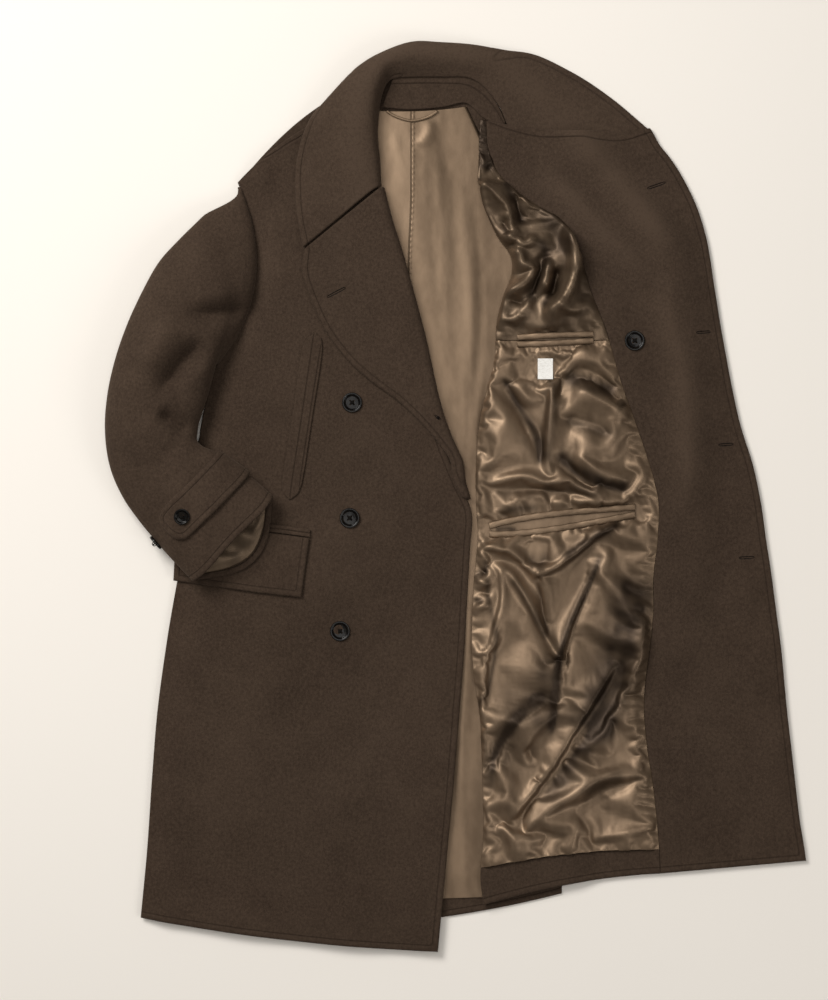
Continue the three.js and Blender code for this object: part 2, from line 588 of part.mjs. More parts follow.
function addCollar() {
  const point = (u, v) => {
    const row = atRow(COLLAR_ROWS, v);
    const section = new THREE.CatmullRomCurve3([
      new THREE.Vector3(row.ax, row.ay, row.az),
      new THREE.Vector3(row.bx, row.by, row.bz),
      new THREE.Vector3(row.cx, row.cy, row.cz),
      new THREE.Vector3(row.dx, row.dy, row.dz),
    ]);
    return section.getPoint(u);
  };
  clothWall('collar', point, DOUBLE_WOOL, 11, 26, wool());
}

function addCollarStand() {
  const point = (u, v) => {
    const row = atRow(STAND_ROWS, v);
    const z = lerp(LINING_TOP + LAY_GAP, row.fz, u);
    return new THREE.Vector3(lerp(row.nx, row.fx, u), lerp(row.ny, row.fy, u), z);
  };
  clothWall('collar_stand', point, WOOL, 2, 14, wool());
}

// Underside of the opened front. u is 0..1 over the lining and 1..2 over the facing.
function openPlace(u, v) {
  const row = atRow(OPEN_ROWS, v);
  if (u <= 1) {
    const sag = row.sagLining * 4 * u * (1 - u);
    return { x: lerp(row.bx, row.sx, u), y: lerp(row.by, row.sy, u) - sag };
  }
  const w = u - 1;
  const sag = row.sagFacing * 4 * w * (1 - w);
  return { x: lerp(row.sx, row.ex, w), y: lerp(row.sy, row.ey, w) - sag };
}

function openSurface(u, v) {
  const place = openPlace(u, v);
  return new THREE.Vector3(place.x, place.y, openUnder(place.x, place.y));
}

function openNormal(u, v) {
  if (u <= 1) return normalAt(openSurface, Math.min(u, 0.999), v, 0, 1, 0, 1);
  return normalAt(openSurface, u, v, 1, 2, 0, 1);
}

// Piece lying on the opened front: lift above its underside, relief on top of that, then thick.
function openLayer(name, range, lift, relief, thick, material) {
  const grid = [];
  for (let j = range.fromStation; j <= range.toStation; j += 1) {
    const row = [];
    const v = j / OPEN_STATIONS;
    for (let i = 0; i <= range.across; i += 1) {
      const u = lerp(range.fromU, range.toU, i / range.across);
      const pulled = pullIn(u, v, range, j);
      const under = openSurface(pulled.u, pulled.v);
      const normal = openNormal(u, v);
      under.addScaledVector(normal, lift);
      under.z += relief(under.x, under.y, u, v);
      row.push({ under, top: under.clone().addScaledVector(normal, thick) });
    }
    grid.push(row);
  }
  wallFromGrid(name, grid, false, material);
}

// Edges of a layer stand half a seam gap back from the seams they share.
function pullIn(u, v, range, station) {
  const row = atRow(OPEN_ROWS, v);
  const span = range.toU <= 1
    ? Math.hypot(row.sx - row.bx, row.sy - row.by)
    : Math.hypot(row.ex - row.sx, row.ey - row.sy);
  const half = SEAM_GAP / 2;
  let newU = u;
  let newV = v;
  if (u === range.fromU) newU += half / span;
  if (u === range.toU) newU -= half / span;
  if (station === range.fromStation && station > 0) newV += half / OPEN_LENGTH;
  if (station === range.toStation && station < OPEN_STATIONS) newV -= half / OPEN_LENGTH;
  return { u: newU, v: newV };
}

function pocketClear(x, y) {
  let clear = 1;
  for (const pocket of INNER_POCKETS) {
    const dx = pocket.bx - pocket.ax;
    const dy = pocket.by - pocket.ay;
    const share = clamp(((x - pocket.ax) * dx + (y - pocket.ay) * dy) / (dx * dx + dy * dy), 0, 1);
    const away = Math.hypot(x - pocket.ax - dx * share, y - pocket.ay - dy * share);
    clear = Math.min(clear, ramp(away, 26, 48));
  }
  const fromLabel = Math.hypot(x - LABEL.x, y - LABEL.y);
  return Math.min(clear, ramp(fromLabel, 24, 44));
}

function liningRelief(folds) {
  return (x, y, u) => {
    const border = ramp(1 - u, 0, 0.12) * ramp(u, 0, 0.08);
    return Math.max(foldHeight(folds, x, y), 0) * border * pocketClear(x, y);
  };
}

function facingRelief(x, y, u) {
  const border = ramp(u - 1, 0, 0.14) * ramp(2 - u, 0, 0.1);
  return Math.max(foldHeight(FACING_FOLDS, x, y), 0) * border;
}

const noRelief = () => 0;

function addOpenedFront() {
  const lift = WOOL + SEAM_GAP;
  const grid = [];
  for (let j = 0; j <= OPEN_STATIONS; j += 1) {
    const row = [];
    const v = j / OPEN_STATIONS;
    for (let i = 0; i <= LINING_CELLS + FACING_CELLS; i += 1) {
      const u = i <= LINING_CELLS ? i / LINING_CELLS : 1 + (i - LINING_CELLS) / FACING_CELLS;
      const under = openSurface(u, v);
      const top = under.clone().addScaledVector(openNormal(u, v), WOOL);
      row.push({ under, top });
    }
    grid.push(row);
  }
  wallFromGrid('front_left', grid, false, wool());
  const facing = { fromU: 1, toU: 2, across: FACING_CELLS, fromStation: 0, toStation: OPEN_STATIONS };
  openLayer('facing_left', facing, lift, facingRelief, WOOL, wool());
  const lining = { fromU: 0, toU: 1, across: LINING_CELLS };
  const upper = { ...lining, fromStation: 0, toStation: SLEEVE_LINING_END };
  const middle = { ...lining, fromStation: SLEEVE_LINING_END, toStation: HEM_START };
  const lower = { ...lining, fromStation: HEM_START, toStation: OPEN_STATIONS };
  openLayer('sleeve_lining_left', upper, lift, liningRelief(ARMHOLE_FOLDS), SATIN, satin());
  openLayer('front_lining_left', middle, lift, liningRelief(LINING_FOLDS), SATIN, satin());
  openLayer('hem_band_left', lower, lift, noRelief, WOOL, wool());
}

// Left sleeve under the opened front, one rounded solid from the armhole down.
function addHiddenSleeve() {
  const along = 14;
  const across = 8;
  const grid = [];
  for (let j = 0; j <= along; j += 1) {
    const v = j / along;
    const row = atRow(HIDDEN_SLEEVE_ROWS, v);
    const next = atRow(HIDDEN_SLEEVE_ROWS, Math.min(v + 0.01, 1));
    const past = atRow(HIDDEN_SLEEVE_ROWS, Math.max(v - 0.01, 0));
    const step = Math.hypot(next.x - past.x, next.y - past.y);
    const turn = ramp(v, 0, 0.2);
    const sideX0 = lerp(0, -(next.y - past.y) / step, turn);
    const sideY0 = lerp(1, (next.x - past.x) / step, turn);
    const cells = [];
    for (let i = 0; i <= across; i += 1) {
      const share = 2 * (i / across) - 1;
      const x = row.x - sideX0 * row.half * -share;
      const y = row.y - sideY0 * row.half * -share;
      const round = Math.sqrt(Math.max(1 - share ** 4, 0));
      const under = new THREE.Vector3(x, y, 0);
      cells.push({ under, top: new THREE.Vector3(x, y, 1.5 + (row.thick - 1.5) * round) });
    }
    grid.push(cells);
  }
  wallFromGrid('sleeve_left', grid, false, wool());
}

// Outer side of the right sleeve. turn is 0..1 round the ring: outer edge, top, inner edge, under.
// Its first ring follows the armhole of the front and the back.
function sleeveSurface(turn, v, inward = 0) {
  const row = atRow(SLEEVE_ROWS, v);
  const angle = turn * Math.PI * 2;
  const chordX = row.ix - row.ox;
  const chordY = row.iy - row.oy;
  const chord = Math.hypot(chordX, chordY);
  const half = chord / 2 - inward;
  const across = -Math.cos(angle);
  const lift = Math.sin(angle);
  const bow = lerp(row.bowUnder, row.bowTop, (1 + lift) / 2) * (1 - across * across);
  const y = (row.oy + row.iy) / 2 + (chordY / chord) * half * across - (chordX / chord) * bow;
  const free = (row.ox + row.ix) / 2 + (chordX / chord) * half * across + (chordY / chord) * bow;
  const x = lerp(sideX(y) - ARMHOLE_GAP, free, ramp(v, 0, ARMHOLE_EASE));
  const raised = ((1 + lift) / 2) ** SLEEVE_ROUND;
  const onBody = ramp(v, ON_BODY.from, ON_BODY.to);
  const rest = sleeveRest(x, y, onBody);
  const fold = lift > 0 ? foldHeight(SLEEVE_FOLDS, x, y) * lift : 0;
  const z = rest + inward + (row.high - 2 * inward) * raised + fold;
  return new THREE.Vector3(x, y, z);
}

function addRightSleeve() {
  const grid = [];
  for (let j = 0; j <= SLEEVE_STATIONS; j += 1) {
    const v = j / SLEEVE_STATIONS;
    const ring = [];
    for (let i = 0; i < SLEEVE_RING_CELLS; i += 1) {
      const turn = i / SLEEVE_RING_CELLS;
      ring.push({ top: sleeveSurface(turn, v), under: sleeveSurface(turn, v, WOOL) });
    }
    grid.push(ring);
  }
  wallFromGrid('sleeve_right', grid, true, wool());
}

// Lining in the mouth of the cuff, set back from its edge.
function addSleeveLining() {
  const outer = WOOL + 3 * LAY_GAP;
  const grid = [];
  for (let j = 0; j <= CUFF_LINING.along; j += 1) {
    const v = lerp(CUFF_LINING.from, CUFF_LINING.to, j / CUFF_LINING.along);
    const ring = [];
    for (let i = 0; i < SLEEVE_RING_CELLS; i += 1) {
      const turn = i / SLEEVE_RING_CELLS;
      ring.push({ top: sleeveSurface(turn, v, outer), under: sleeveSurface(turn, v, outer + SATIN) });
    }
    grid.push(ring);
  }
  wallFromGrid('sleeve_lining_right', grid, true, satin());
}

function sleeveNormal(turn, v) {
  return normalAt((u, w) => sleeveSurface(u, w), turn, v, 0, 1, 0, 1);
}

// Cuff strap: a band round the sleeve with a rounded free end.
function addCuffStrap() {
  const across = 4;
  const along = 10;
  const middle = (STRAP.from + STRAP.to) / 2;
  const halfBand = (STRAP.to - STRAP.from) / 2;
  const grid = [];
  for (let j = 0; j <= across; j += 1) {
    const row = [];
    const side = 2 * (j / across) - 1;
    for (let i = 0; i <= along; i += 1) {
      const share = i / along;
      const endTurn = STRAP.wrapEnd + STRAP.round * side ** 4;
      const turn = lerp(endTurn, STRAP.wrapStart, share);
      const v = middle + side * halfBand * (1 - STRAP.taper * (1 - share) ** 6);
      const normal = sleeveNormal(turn, v);
      const under = sleeveSurface(turn, v).addScaledVector(normal, 2 * LAY_GAP);
      row.push({ under, top: under.clone().addScaledVector(normal, STRAP.thick) });
    }
    grid.push(row);
  }
  wallFromGrid('cuff_strap_right', grid, false, wool());
}

// Strips that lie on the right front, between two sides given by rows.
function addFrontStrip(name, rows, thick, lift, across, along, keys) {
  const point = (u, v) => {
    const row = atRow(rows, v);
    const x = lerp(row[keys.ax], row[keys.bx], u);
    const y = lerp(row[keys.ay], row[keys.by], u);
    const base = frontTop(Math.max(x, sideX(y) + 6), y);
    return new THREE.Vector3(x, y, base + lift);
  };
  clothWall(name, point, thick, across, along, wool());
}

function addHipPocket() {
  const alongMouth = { ax: 'fx', ay: 'fy', bx: 'mx', by: 'my' };
  addFrontStrip('pocket_flap_right', FLAP_ROWS, 3.5, 2 * LAY_GAP, 4, 9, alongMouth);
  addFrontStrip('pocket_jet_right', JET_ROWS, 2.5, 2 * LAY_GAP, 1, 8, alongMouth);
}

function addHandWelt() {
  const acrossWelt = { ax: 'rx', ay: 'ry', bx: 'lx', by: 'ly' };
  addFrontStrip('hand_welt_right', [...WELT_ROWS].reverse(), 2, LAY_GAP, 2, 12, acrossWelt);
}

// Lips of the inner pockets, above and below each mouth.
function addInnerPockets() {
  const lift = WOOL + SEAM_GAP + SATIN + LAY_GAP;
  for (const pocket of INNER_POCKETS) {
    for (const side of [1, -1]) {
      const half = pocket.open / 2;
      const near = side > 0 ? half : -half - pocket.lip;
      const point = (u, v) => {
        const x = lerp(pocket.ax, pocket.bx, u);
        const y = lerp(pocket.ay, pocket.by, u) + near + pocket.lip * (1 - v);
        return new THREE.Vector3(x, y, openUnder(x, y) + lift);
      };
      const label = side > 0 ? 'top' : 'low';
      clothWall(`inner_pocket_${pocket.name}_${label}`, point, 1.6, 6, 1, satin());
    }
  }
}

function addLabel() {
  const lift = WOOL + SEAM_GAP + SATIN + LAY_GAP;
  const point = (u, v) => {
    const x = LABEL.x + LABEL.wide * (u - 0.5);
    const y = LABEL.y + LABEL.long * (0.5 - v);
    return new THREE.Vector3(x, y, openUnder(x, y) + lift);
  };
  clothWall('care_label', point, LABEL.thick, 1, 1, finish(LABEL_COLOUR, 0.8));
}

// Loop for hanging, sewn at both ends under the neck band.
function addHangerLoop() {
  const curve = new THREE.CatmullRomCurve3([
    new THREE.Vector3(-88, 483, LINING_TOP + 2.2),
    new THREE.Vector3(-76, 476, LINING_TOP + 2.2),
    new THREE.Vector3(-57, 471, LINING_TOP + 2.2),
    new THREE.Vector3(-38, 475, LINING_TOP + 2.2),
    new THREE.Vector3(-24, 483, LINING_TOP + 2.2),
  ]);
  const half = 1.6;
  const section = new THREE.Shape([
    new THREE.Vector2(-half, -half),
    new THREE.Vector2(half, -half),
    new THREE.Vector2(half, half),
    new THREE.Vector2(-half, half),
  ]);
  const geometry = new THREE.ExtrudeGeometry(section, { steps: 12, extrudePath: curve });
  const mesh = new THREE.Mesh(geometry, satin());
  mesh.name = 'hanger_loop';
  coat.add(mesh);
}

// Round button with a raised rim, a dished middle and a thread shank under it.
function buttonGeometry(diameter) {
  const r = diameter / 2;
  const disc = SHANK + r * 0.28;
  const profile = [
    new THREE.Vector2(0, 0),
    new THREE.Vector2(r * 0.24, 0),
    new THREE.Vector2(r * 0.24, SHANK),
    new THREE.Vector2(r * 0.8, SHANK),
    new THREE.Vector2(r, SHANK + r * 0.12),
    new THREE.Vector2(r * 0.9, disc),
    new THREE.Vector2(r * 0.62, disc - r * 0.1),
    new THREE.Vector2(0, disc - r * 0.12),
  ];
  const geometry = new THREE.LatheGeometry(profile, 16);
  geometry.rotateX(Math.PI / 2);
  return geometry;
}

function addButton(name, diameter, place, axis) {
  const mesh = new THREE.Mesh(buttonGeometry(diameter), finish(HORN_COLOUR, 0.15));
  mesh.name = name;
  mesh.quaternion.setFromUnitVectors(new THREE.Vector3(0, 0, 1), axis);
  mesh.position.copy(place);
  coat.add(mesh);
}

function addButtons() {
  const up = new THREE.Vector3(0, 0, 1);
  FRONT_BUTTONS.forEach((spot, index) => {
    const place = new THREE.Vector3(spot.x, spot.y, frontTop(spot.x, spot.y) + LAY_GAP + 0.2);
    addButton(`front_button_${index + 1}`, FRONT_BUTTON, place, up);
  });
  const insideZ = openUnder(JIGGER_BUTTON.x, JIGGER_BUTTON.y) + 2 * WOOL + SEAM_GAP + LAY_GAP;
  const inside = new THREE.Vector3(JIGGER_BUTTON.x, JIGGER_BUTTON.y, insideZ);
  addButton('jigger_button', FRONT_BUTTON, inside, up);
  const strapTurn = STRAP.wrapEnd + 0.07;
  const strapV = (STRAP.from + STRAP.to) / 2;
  const strapNormal = sleeveNormal(strapTurn, strapV);
  const strapSpot = sleeveSurface(strapTurn, strapV);
  strapSpot.addScaledVector(strapNormal, STRAP.thick + 2 * LAY_GAP + 0.8);
  addButton('cuff_button_1', CUFF_BUTTON, strapSpot, strapNormal);
  const edgeNormal = sleeveNormal(0, strapV);
  edgeNormal.z = 0;
  edgeNormal.normalize();
  const edgeSpot = sleeveSurface(0, strapV).addScaledVector(edgeNormal, LAY_GAP);
  addButton('cuff_button_2', CUFF_BUTTON, edgeSpot, edgeNormal);
}

addBackPanel();
addBackLining();
addRightFront();
addRightLapel();
addCollar();
addCollarStand();
addOpenedFront();
addHiddenSleeve();
addRightSleeve();
addSleeveLining();
addCuffStrap();
addHipPocket();
addHandWelt();
addInnerPockets();
addLabel();
addHangerLoop();
addButtons();

coat.position.set(-MIDDLE.x, -MIDDLE.y, 0);

const group = new THREE.Group();
group.add(coat);

export default group;
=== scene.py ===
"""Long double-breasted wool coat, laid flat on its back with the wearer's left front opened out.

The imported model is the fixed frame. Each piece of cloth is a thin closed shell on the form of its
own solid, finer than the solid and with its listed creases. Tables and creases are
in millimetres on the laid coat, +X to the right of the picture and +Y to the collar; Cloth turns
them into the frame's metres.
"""
import json
import logging
from dataclasses import dataclass
from enum import Enum
from math import pi
from typing import Callable

import bpy
import numpy as np
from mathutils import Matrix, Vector

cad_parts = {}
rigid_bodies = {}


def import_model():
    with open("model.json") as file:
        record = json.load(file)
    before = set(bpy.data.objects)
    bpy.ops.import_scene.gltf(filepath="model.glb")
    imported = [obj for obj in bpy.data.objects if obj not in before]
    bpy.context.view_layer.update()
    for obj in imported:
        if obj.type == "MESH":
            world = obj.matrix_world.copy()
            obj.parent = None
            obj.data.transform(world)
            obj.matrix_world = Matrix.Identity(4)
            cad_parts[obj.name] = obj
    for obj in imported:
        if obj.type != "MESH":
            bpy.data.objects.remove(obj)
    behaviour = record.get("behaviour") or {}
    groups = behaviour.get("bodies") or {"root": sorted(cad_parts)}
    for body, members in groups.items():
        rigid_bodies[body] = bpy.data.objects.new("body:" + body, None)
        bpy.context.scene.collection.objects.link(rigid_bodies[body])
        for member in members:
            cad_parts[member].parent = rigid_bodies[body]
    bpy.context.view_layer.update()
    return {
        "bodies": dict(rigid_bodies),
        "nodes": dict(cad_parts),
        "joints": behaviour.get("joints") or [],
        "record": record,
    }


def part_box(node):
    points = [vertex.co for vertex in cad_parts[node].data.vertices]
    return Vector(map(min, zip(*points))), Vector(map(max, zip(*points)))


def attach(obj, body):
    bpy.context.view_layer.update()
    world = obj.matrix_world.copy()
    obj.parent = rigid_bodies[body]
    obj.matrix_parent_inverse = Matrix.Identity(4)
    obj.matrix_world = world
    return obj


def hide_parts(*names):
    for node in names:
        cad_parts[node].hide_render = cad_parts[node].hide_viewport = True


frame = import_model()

LOG = logging.getLogger("coat")
Array = np.ndarray
Fields = dict[str, Array]
Grid = tuple[Array, Array, Array, Array]
Relief = Callable[[Array, Array, Array, Array], Array]
Ends = tuple[float, float]
Triple = tuple[float, float, float]
Line = tuple[tuple[float, float], ...]
Colour = tuple[float, float, float, float]

MM = 0.001
MIDDLE = (-0.9, 1.8)
BODY = "root"


class Slot(Enum):
    """Material slots of the record."""

    WOOL = "wool"
    SATIN = "satin"
    BUTTON = "button"
    LABEL = "label"


class Side(Enum):
    """Borders of a grid of cloth: its rows run from head to foot, its columns from left to right."""

    HEAD = 0
    FOOT = 1
    LEFT = 2
    RIGHT = 3


def ramp(value: Array, low: float, high: float) -> Array:
    """Smooth rise from 0 at low to 1 at high."""
    t = np.clip((value - low) / (high - low), 0.0, 1.0)
    return t * t * (3 - 2 * t)


def mix(low: Array, high: Array, share: Array) -> Array:
    """Value between low and high at a share from 0 to 1."""
    return low + (high - low) * share


def smooth_max(first: Array, second: Array) -> Array:
    """Soft maximum of two heights above zero."""
    return (np.abs(first) ** 4 + np.abs(second) ** 4) ** 0.25


class Rows:
    """Table with named columns, read smoothly from its first row (0) to its last (1)."""

    def __init__(self, names: str, *rows: tuple[float, ...]) -> None:
        """Keep the rows by column.

        Args:
            names: the columns' names, with a space between two.
            rows: the table's rows, each with one number for every name.
        """
        self.columns = dict(zip(names.split(), np.array(rows, float).T))
        self.last = len(rows) - 1

    def at(self, v: Array) -> Fields:
        """Read every column.

        Args:
            v: places down the table, from 0 to 1.

        Returns:
            The columns' values, each shaped as v.
        """
        place = np.clip(v, 0.0, 1.0) * self.last
        i = np.minimum(place.astype(int), self.last - 1)
        t = place - i
        found = {}
        for key, column in self.columns.items():
            near, far = column[i], column[i + 1]
            before = np.where(i > 0, column[np.maximum(i - 1, 0)], 2 * near - far)
            after = np.where(i + 2 <= self.last, column[np.minimum(i + 2, self.last)], 2 * far - near)
            slope_near, slope_far = (far - before) / 2, (after - near) / 2
            found[key] = (
                (2 * t**3 - 3 * t**2 + 1) * near
                + (t**3 - 2 * t**2 + t) * slope_near
                + (3 * t**2 - 2 * t**3) * far
                + (t**3 - t**2) * slope_far
            )
        return found

    def share(self, key: str, value: Array) -> Array:
        """Place down the table at which a column that falls steadily reaches a value.

        Args:
            key: the column.
            value: the values to look for.

        Returns:
            Places from 0 to 1.
        """
        return np.interp(-value, -self.columns[key], np.linspace(0, 1, self.last + 1))


def smooth_line(points: Line, steps: int = 8) -> Array:
    """Smooth line through points.

    Args:
        points: places in mm that the line passes.
        steps: pieces between two of them.

    Returns:
        The finer line's places, one a row.
    """
    rows = Rows("x y", *points)
    found = rows.at(np.linspace(0, 1, steps * rows.last + 1))
    return np.stack([found["x"], found["y"]], -1)


def near_line(x: Array, y: Array, line: Array) -> tuple[Array, Array, Array]:
    """Where places lie beside a line.

    Args:
        x: places across.
        y: places up.
        line: the line's points, one a row.

    Returns:
        Signed distance (above zero on the line's left), run along the line, and share of its length.
    """
    start, step = line[:-1], np.diff(line, axis=0)
    length = np.maximum(np.hypot(step[:, 0], step[:, 1]), 1e-6)
    ran = np.concatenate([[0], np.cumsum(length)])
    best = np.full(x.shape, 1e9)
    signed, run = np.zeros(x.shape), np.zeros(x.shape)
    for k in range(len(step)):
        off_x, off_y = x - start[k, 0], y - start[k, 1]
        along = np.clip((off_x * step[k, 0] + off_y * step[k, 1]) / length[k], 0, length[k])
        gap_x = off_x - along * step[k, 0] / length[k]
        gap_y = off_y - along * step[k, 1] / length[k]
        gap = np.hypot(gap_x, gap_y)
        closer = gap < best
        best = np.where(closer, gap, best)
        side = np.sign(step[k, 0] * off_y - step[k, 1] * off_x)
        signed = np.where(closer, gap * np.where(side == 0, 1, side), signed)
        run = np.where(closer, ran[k] + along, run)
    return signed, run, run / ran[-1]


@dataclass(frozen=True)
class Crease:
    """Soft ridge, or trough below zero, along a given line.

    Its left side, seen along the line, may fall over another width than its right side.
    """

    points: Line
    high: float
    wide: float
    right: float = 0.0
    sharp: float = 1.7
    fade: float = 0.3
    fade_end: float = -1.0

    def height(self, x: Array, y: Array) -> Array:
        """Height of the crease alone.

        Args:
            x: places across in mm.
            y: places up in mm.

        Returns:
            Heights in mm, shaped as x.
        """
        signed, _, share = near_line(x, y, smooth_line(self.points))
        width = np.where(signed > 0, self.wide, self.right or self.wide)
        across = np.exp(-((np.abs(signed) / width) ** self.sharp))
        fade_end = self.fade if self.fade_end < 0 else self.fade_end
        return self.high * across * ramp(share, 0, self.fade) * ramp(1 - share, 0, max(fade_end, 1e-3))


def creased(creases: tuple[Crease, ...], x: Array, y: Array) -> Array:
    """Height of several creases together.

    Args:
        creases: the creases, added in this order.
        x: places across in mm.
        y: places up in mm.

    Returns:
        Heights in mm, shaped as x.
    """
    height = np.zeros(x.shape)
    for crease in creases:
        height = height + crease.height(x, y)
    return height


def rumple(x: Array, y: Array, size: float, seed: int, stretch: float = 1.0, turn: float = 0.0) -> Array:
    """Gentle uneven relief from a few dozen waves, from about -1 to 1 and the same on each run.

    Args:
        x: places across in mm.
        y: places up in mm.
        size: usual distance between two rises in mm.
        seed: which relief.
        stretch: how many times longer a rise is than wide.
        turn: direction in which it is longer, in degrees from +X.

    Returns:
        Heights shaped as x.
    """
    chance = np.random.default_rng(seed)
    c, s = np.cos(np.radians(turn)), np.sin(np.radians(turn))
    along, across = (x * c + y * s) / stretch, y * c - x * s
    total = np.zeros(x.shape)
    waves = 22
    for _ in range(waves):
        angle = chance.uniform(0, 2 * pi)
        pitch = 2 * pi / (size * chance.uniform(0.7, 1.8))
        total += np.sin((along * np.cos(angle) + across * np.sin(angle)) * pitch + chance.uniform(0, 2 * pi))
    return total / np.sqrt(waves) * 0.8


def stations(length: float, step: float, tight: tuple[bool, bool] = (True, True)) -> Array:
    """Shares from 0 to 1 with steps that are fine near the ends that are marked tight.

    Args:
        length: the span in mm.
        step: usual step in mm.
        tight: whether the start and the end are fine.

    Returns:
        Rising shares.
    """
    edge = np.array([0.0, 0.2, 0.6, 1.25, 2.4, 4.2, 6.6])
    head = edge if tight[0] else np.array([0.0])
    tail = edge if tight[1] else np.array([0.0])
    inner = length - head[-1] - tail[-1]
    count = max(int(round(inner / step)), 1)
    middle = head[-1] + inner * np.arange(1, count) / count
    return np.concatenate([head, middle, (length - tail)[::-1]]) / length


def cubic_weights(count: int, shares: Array) -> Array:
    """Weights of evenly spaced values for a smooth reading between them.

    Args:
        count: how many values there are.
        shares: places from 0 at the first value to 1 at the last.

    Returns:
        One row of weights for each share.
    """
    place = np.clip(shares, 0, 1) * (count - 1)
    start = np.minimum(place.astype(int), count - 2)
    t = place - start
    parts = {
        -1: (-t**3 + 2 * t**2 - t) / 2,
        0: (3 * t**3 - 5 * t**2 + 2) / 2,
        1: (-3 * t**3 + 4 * t**2 + t) / 2,
        2: (t**3 - t**2) / 2,
    }
    weights = np.zeros((len(shares), count))
    for offset, part in parts.items():
        np.add.at(weights, (np.arange(len(shares)), np.clip(start + offset, 0, count - 1)), part)
    return weights


def grid_normals(places: Array, ring: bool) -> Array:
    """Unit normals of a grid.

    Args:
        places: grid of places (rows, columns, 3).
        ring: whether its last column meets its first.

    Returns:
        Normals, shaped as the places.
    """
    along = np.gradient(places, axis=0)
    if ring:
        across = np.roll(places, -1, axis=1) - np.roll(places, 1, axis=1)
    else:
        across = np.gradient(places, axis=1)
    normal = np.cross(along, across)
    size = np.linalg.norm(normal, axis=-1, keepdims=True)
    return normal / np.maximum(size, 1e-9)


def quads(index: Array) -> Array:
    """Faces between the neighbours of a grid of vertex numbers."""
    return np.stack([index[:-1, :-1], index[1:, :-1], index[1:, 1:], index[:-1, 1:]], -1).reshape(-1, 4)


def stand(name: str, data: bpy.types.ID) -> bpy.types.Object:
    """Put new data into the scene as an object at the origin.

    Args:
        name: the object's name.
        data: its mesh, lamp or camera.

    Returns:
        The object.
    """
    piece = bpy.data.objects.new(name, data)
    bpy.context.scene.collection.objects.link(piece)
    return piece


def mesh_of(name: str, vertices: Array, faces: Array) -> bpy.types.Object:
    """Make a mesh object in the scene.

    Args:
        name: its name and its mesh's.
        vertices: places in metres, one a row.
        faces: vertex numbers, one face a row.

    Returns:
        The object.
    """
    mesh = bpy.data.meshes.new(name)
    mesh.from_pydata(vertices.tolist(), [], faces.tolist())
    return stand(name, mesh)


def border_of(places: Array, side: Side) -> Array:
    """The grid's places along one border."""
    if side in (Side.HEAD, Side.FOOT):
        return places[0 if side is Side.HEAD else -1]
    return places[:, 0 if side is Side.LEFT else -1]


def border_distance(places: Array, side: Side) -> tuple[Array, Array]:
    """How far each place of a grid is from a border, and how far along the border it lies.

    Args:
        places: grid of places (rows, columns, 3).
        side: the border.

    Returns:
        Distance and run in mm, each shaped (rows, columns).
    """
    line = border_of(places, side)
    start, step = line[:-1], np.diff(line, axis=0)
    length = np.maximum(np.linalg.norm(step, axis=1), 1e-6)
    ran = np.concatenate([[0], np.cumsum(length)])
    best, run = np.full(places.shape[:2], 1e9), np.zeros(places.shape[:2])
    for k in range(len(step)):
        off = places - start[k]
        along = np.clip((off @ step[k]) / length[k], 0, length[k])
        gap = np.linalg.norm(off - along[..., None] * (step[k] / length[k]), axis=-1)
        closer = gap < best
        best, run = np.where(closer, gap, best), np.where(closer, ran[k] + along, run)
    return best, run


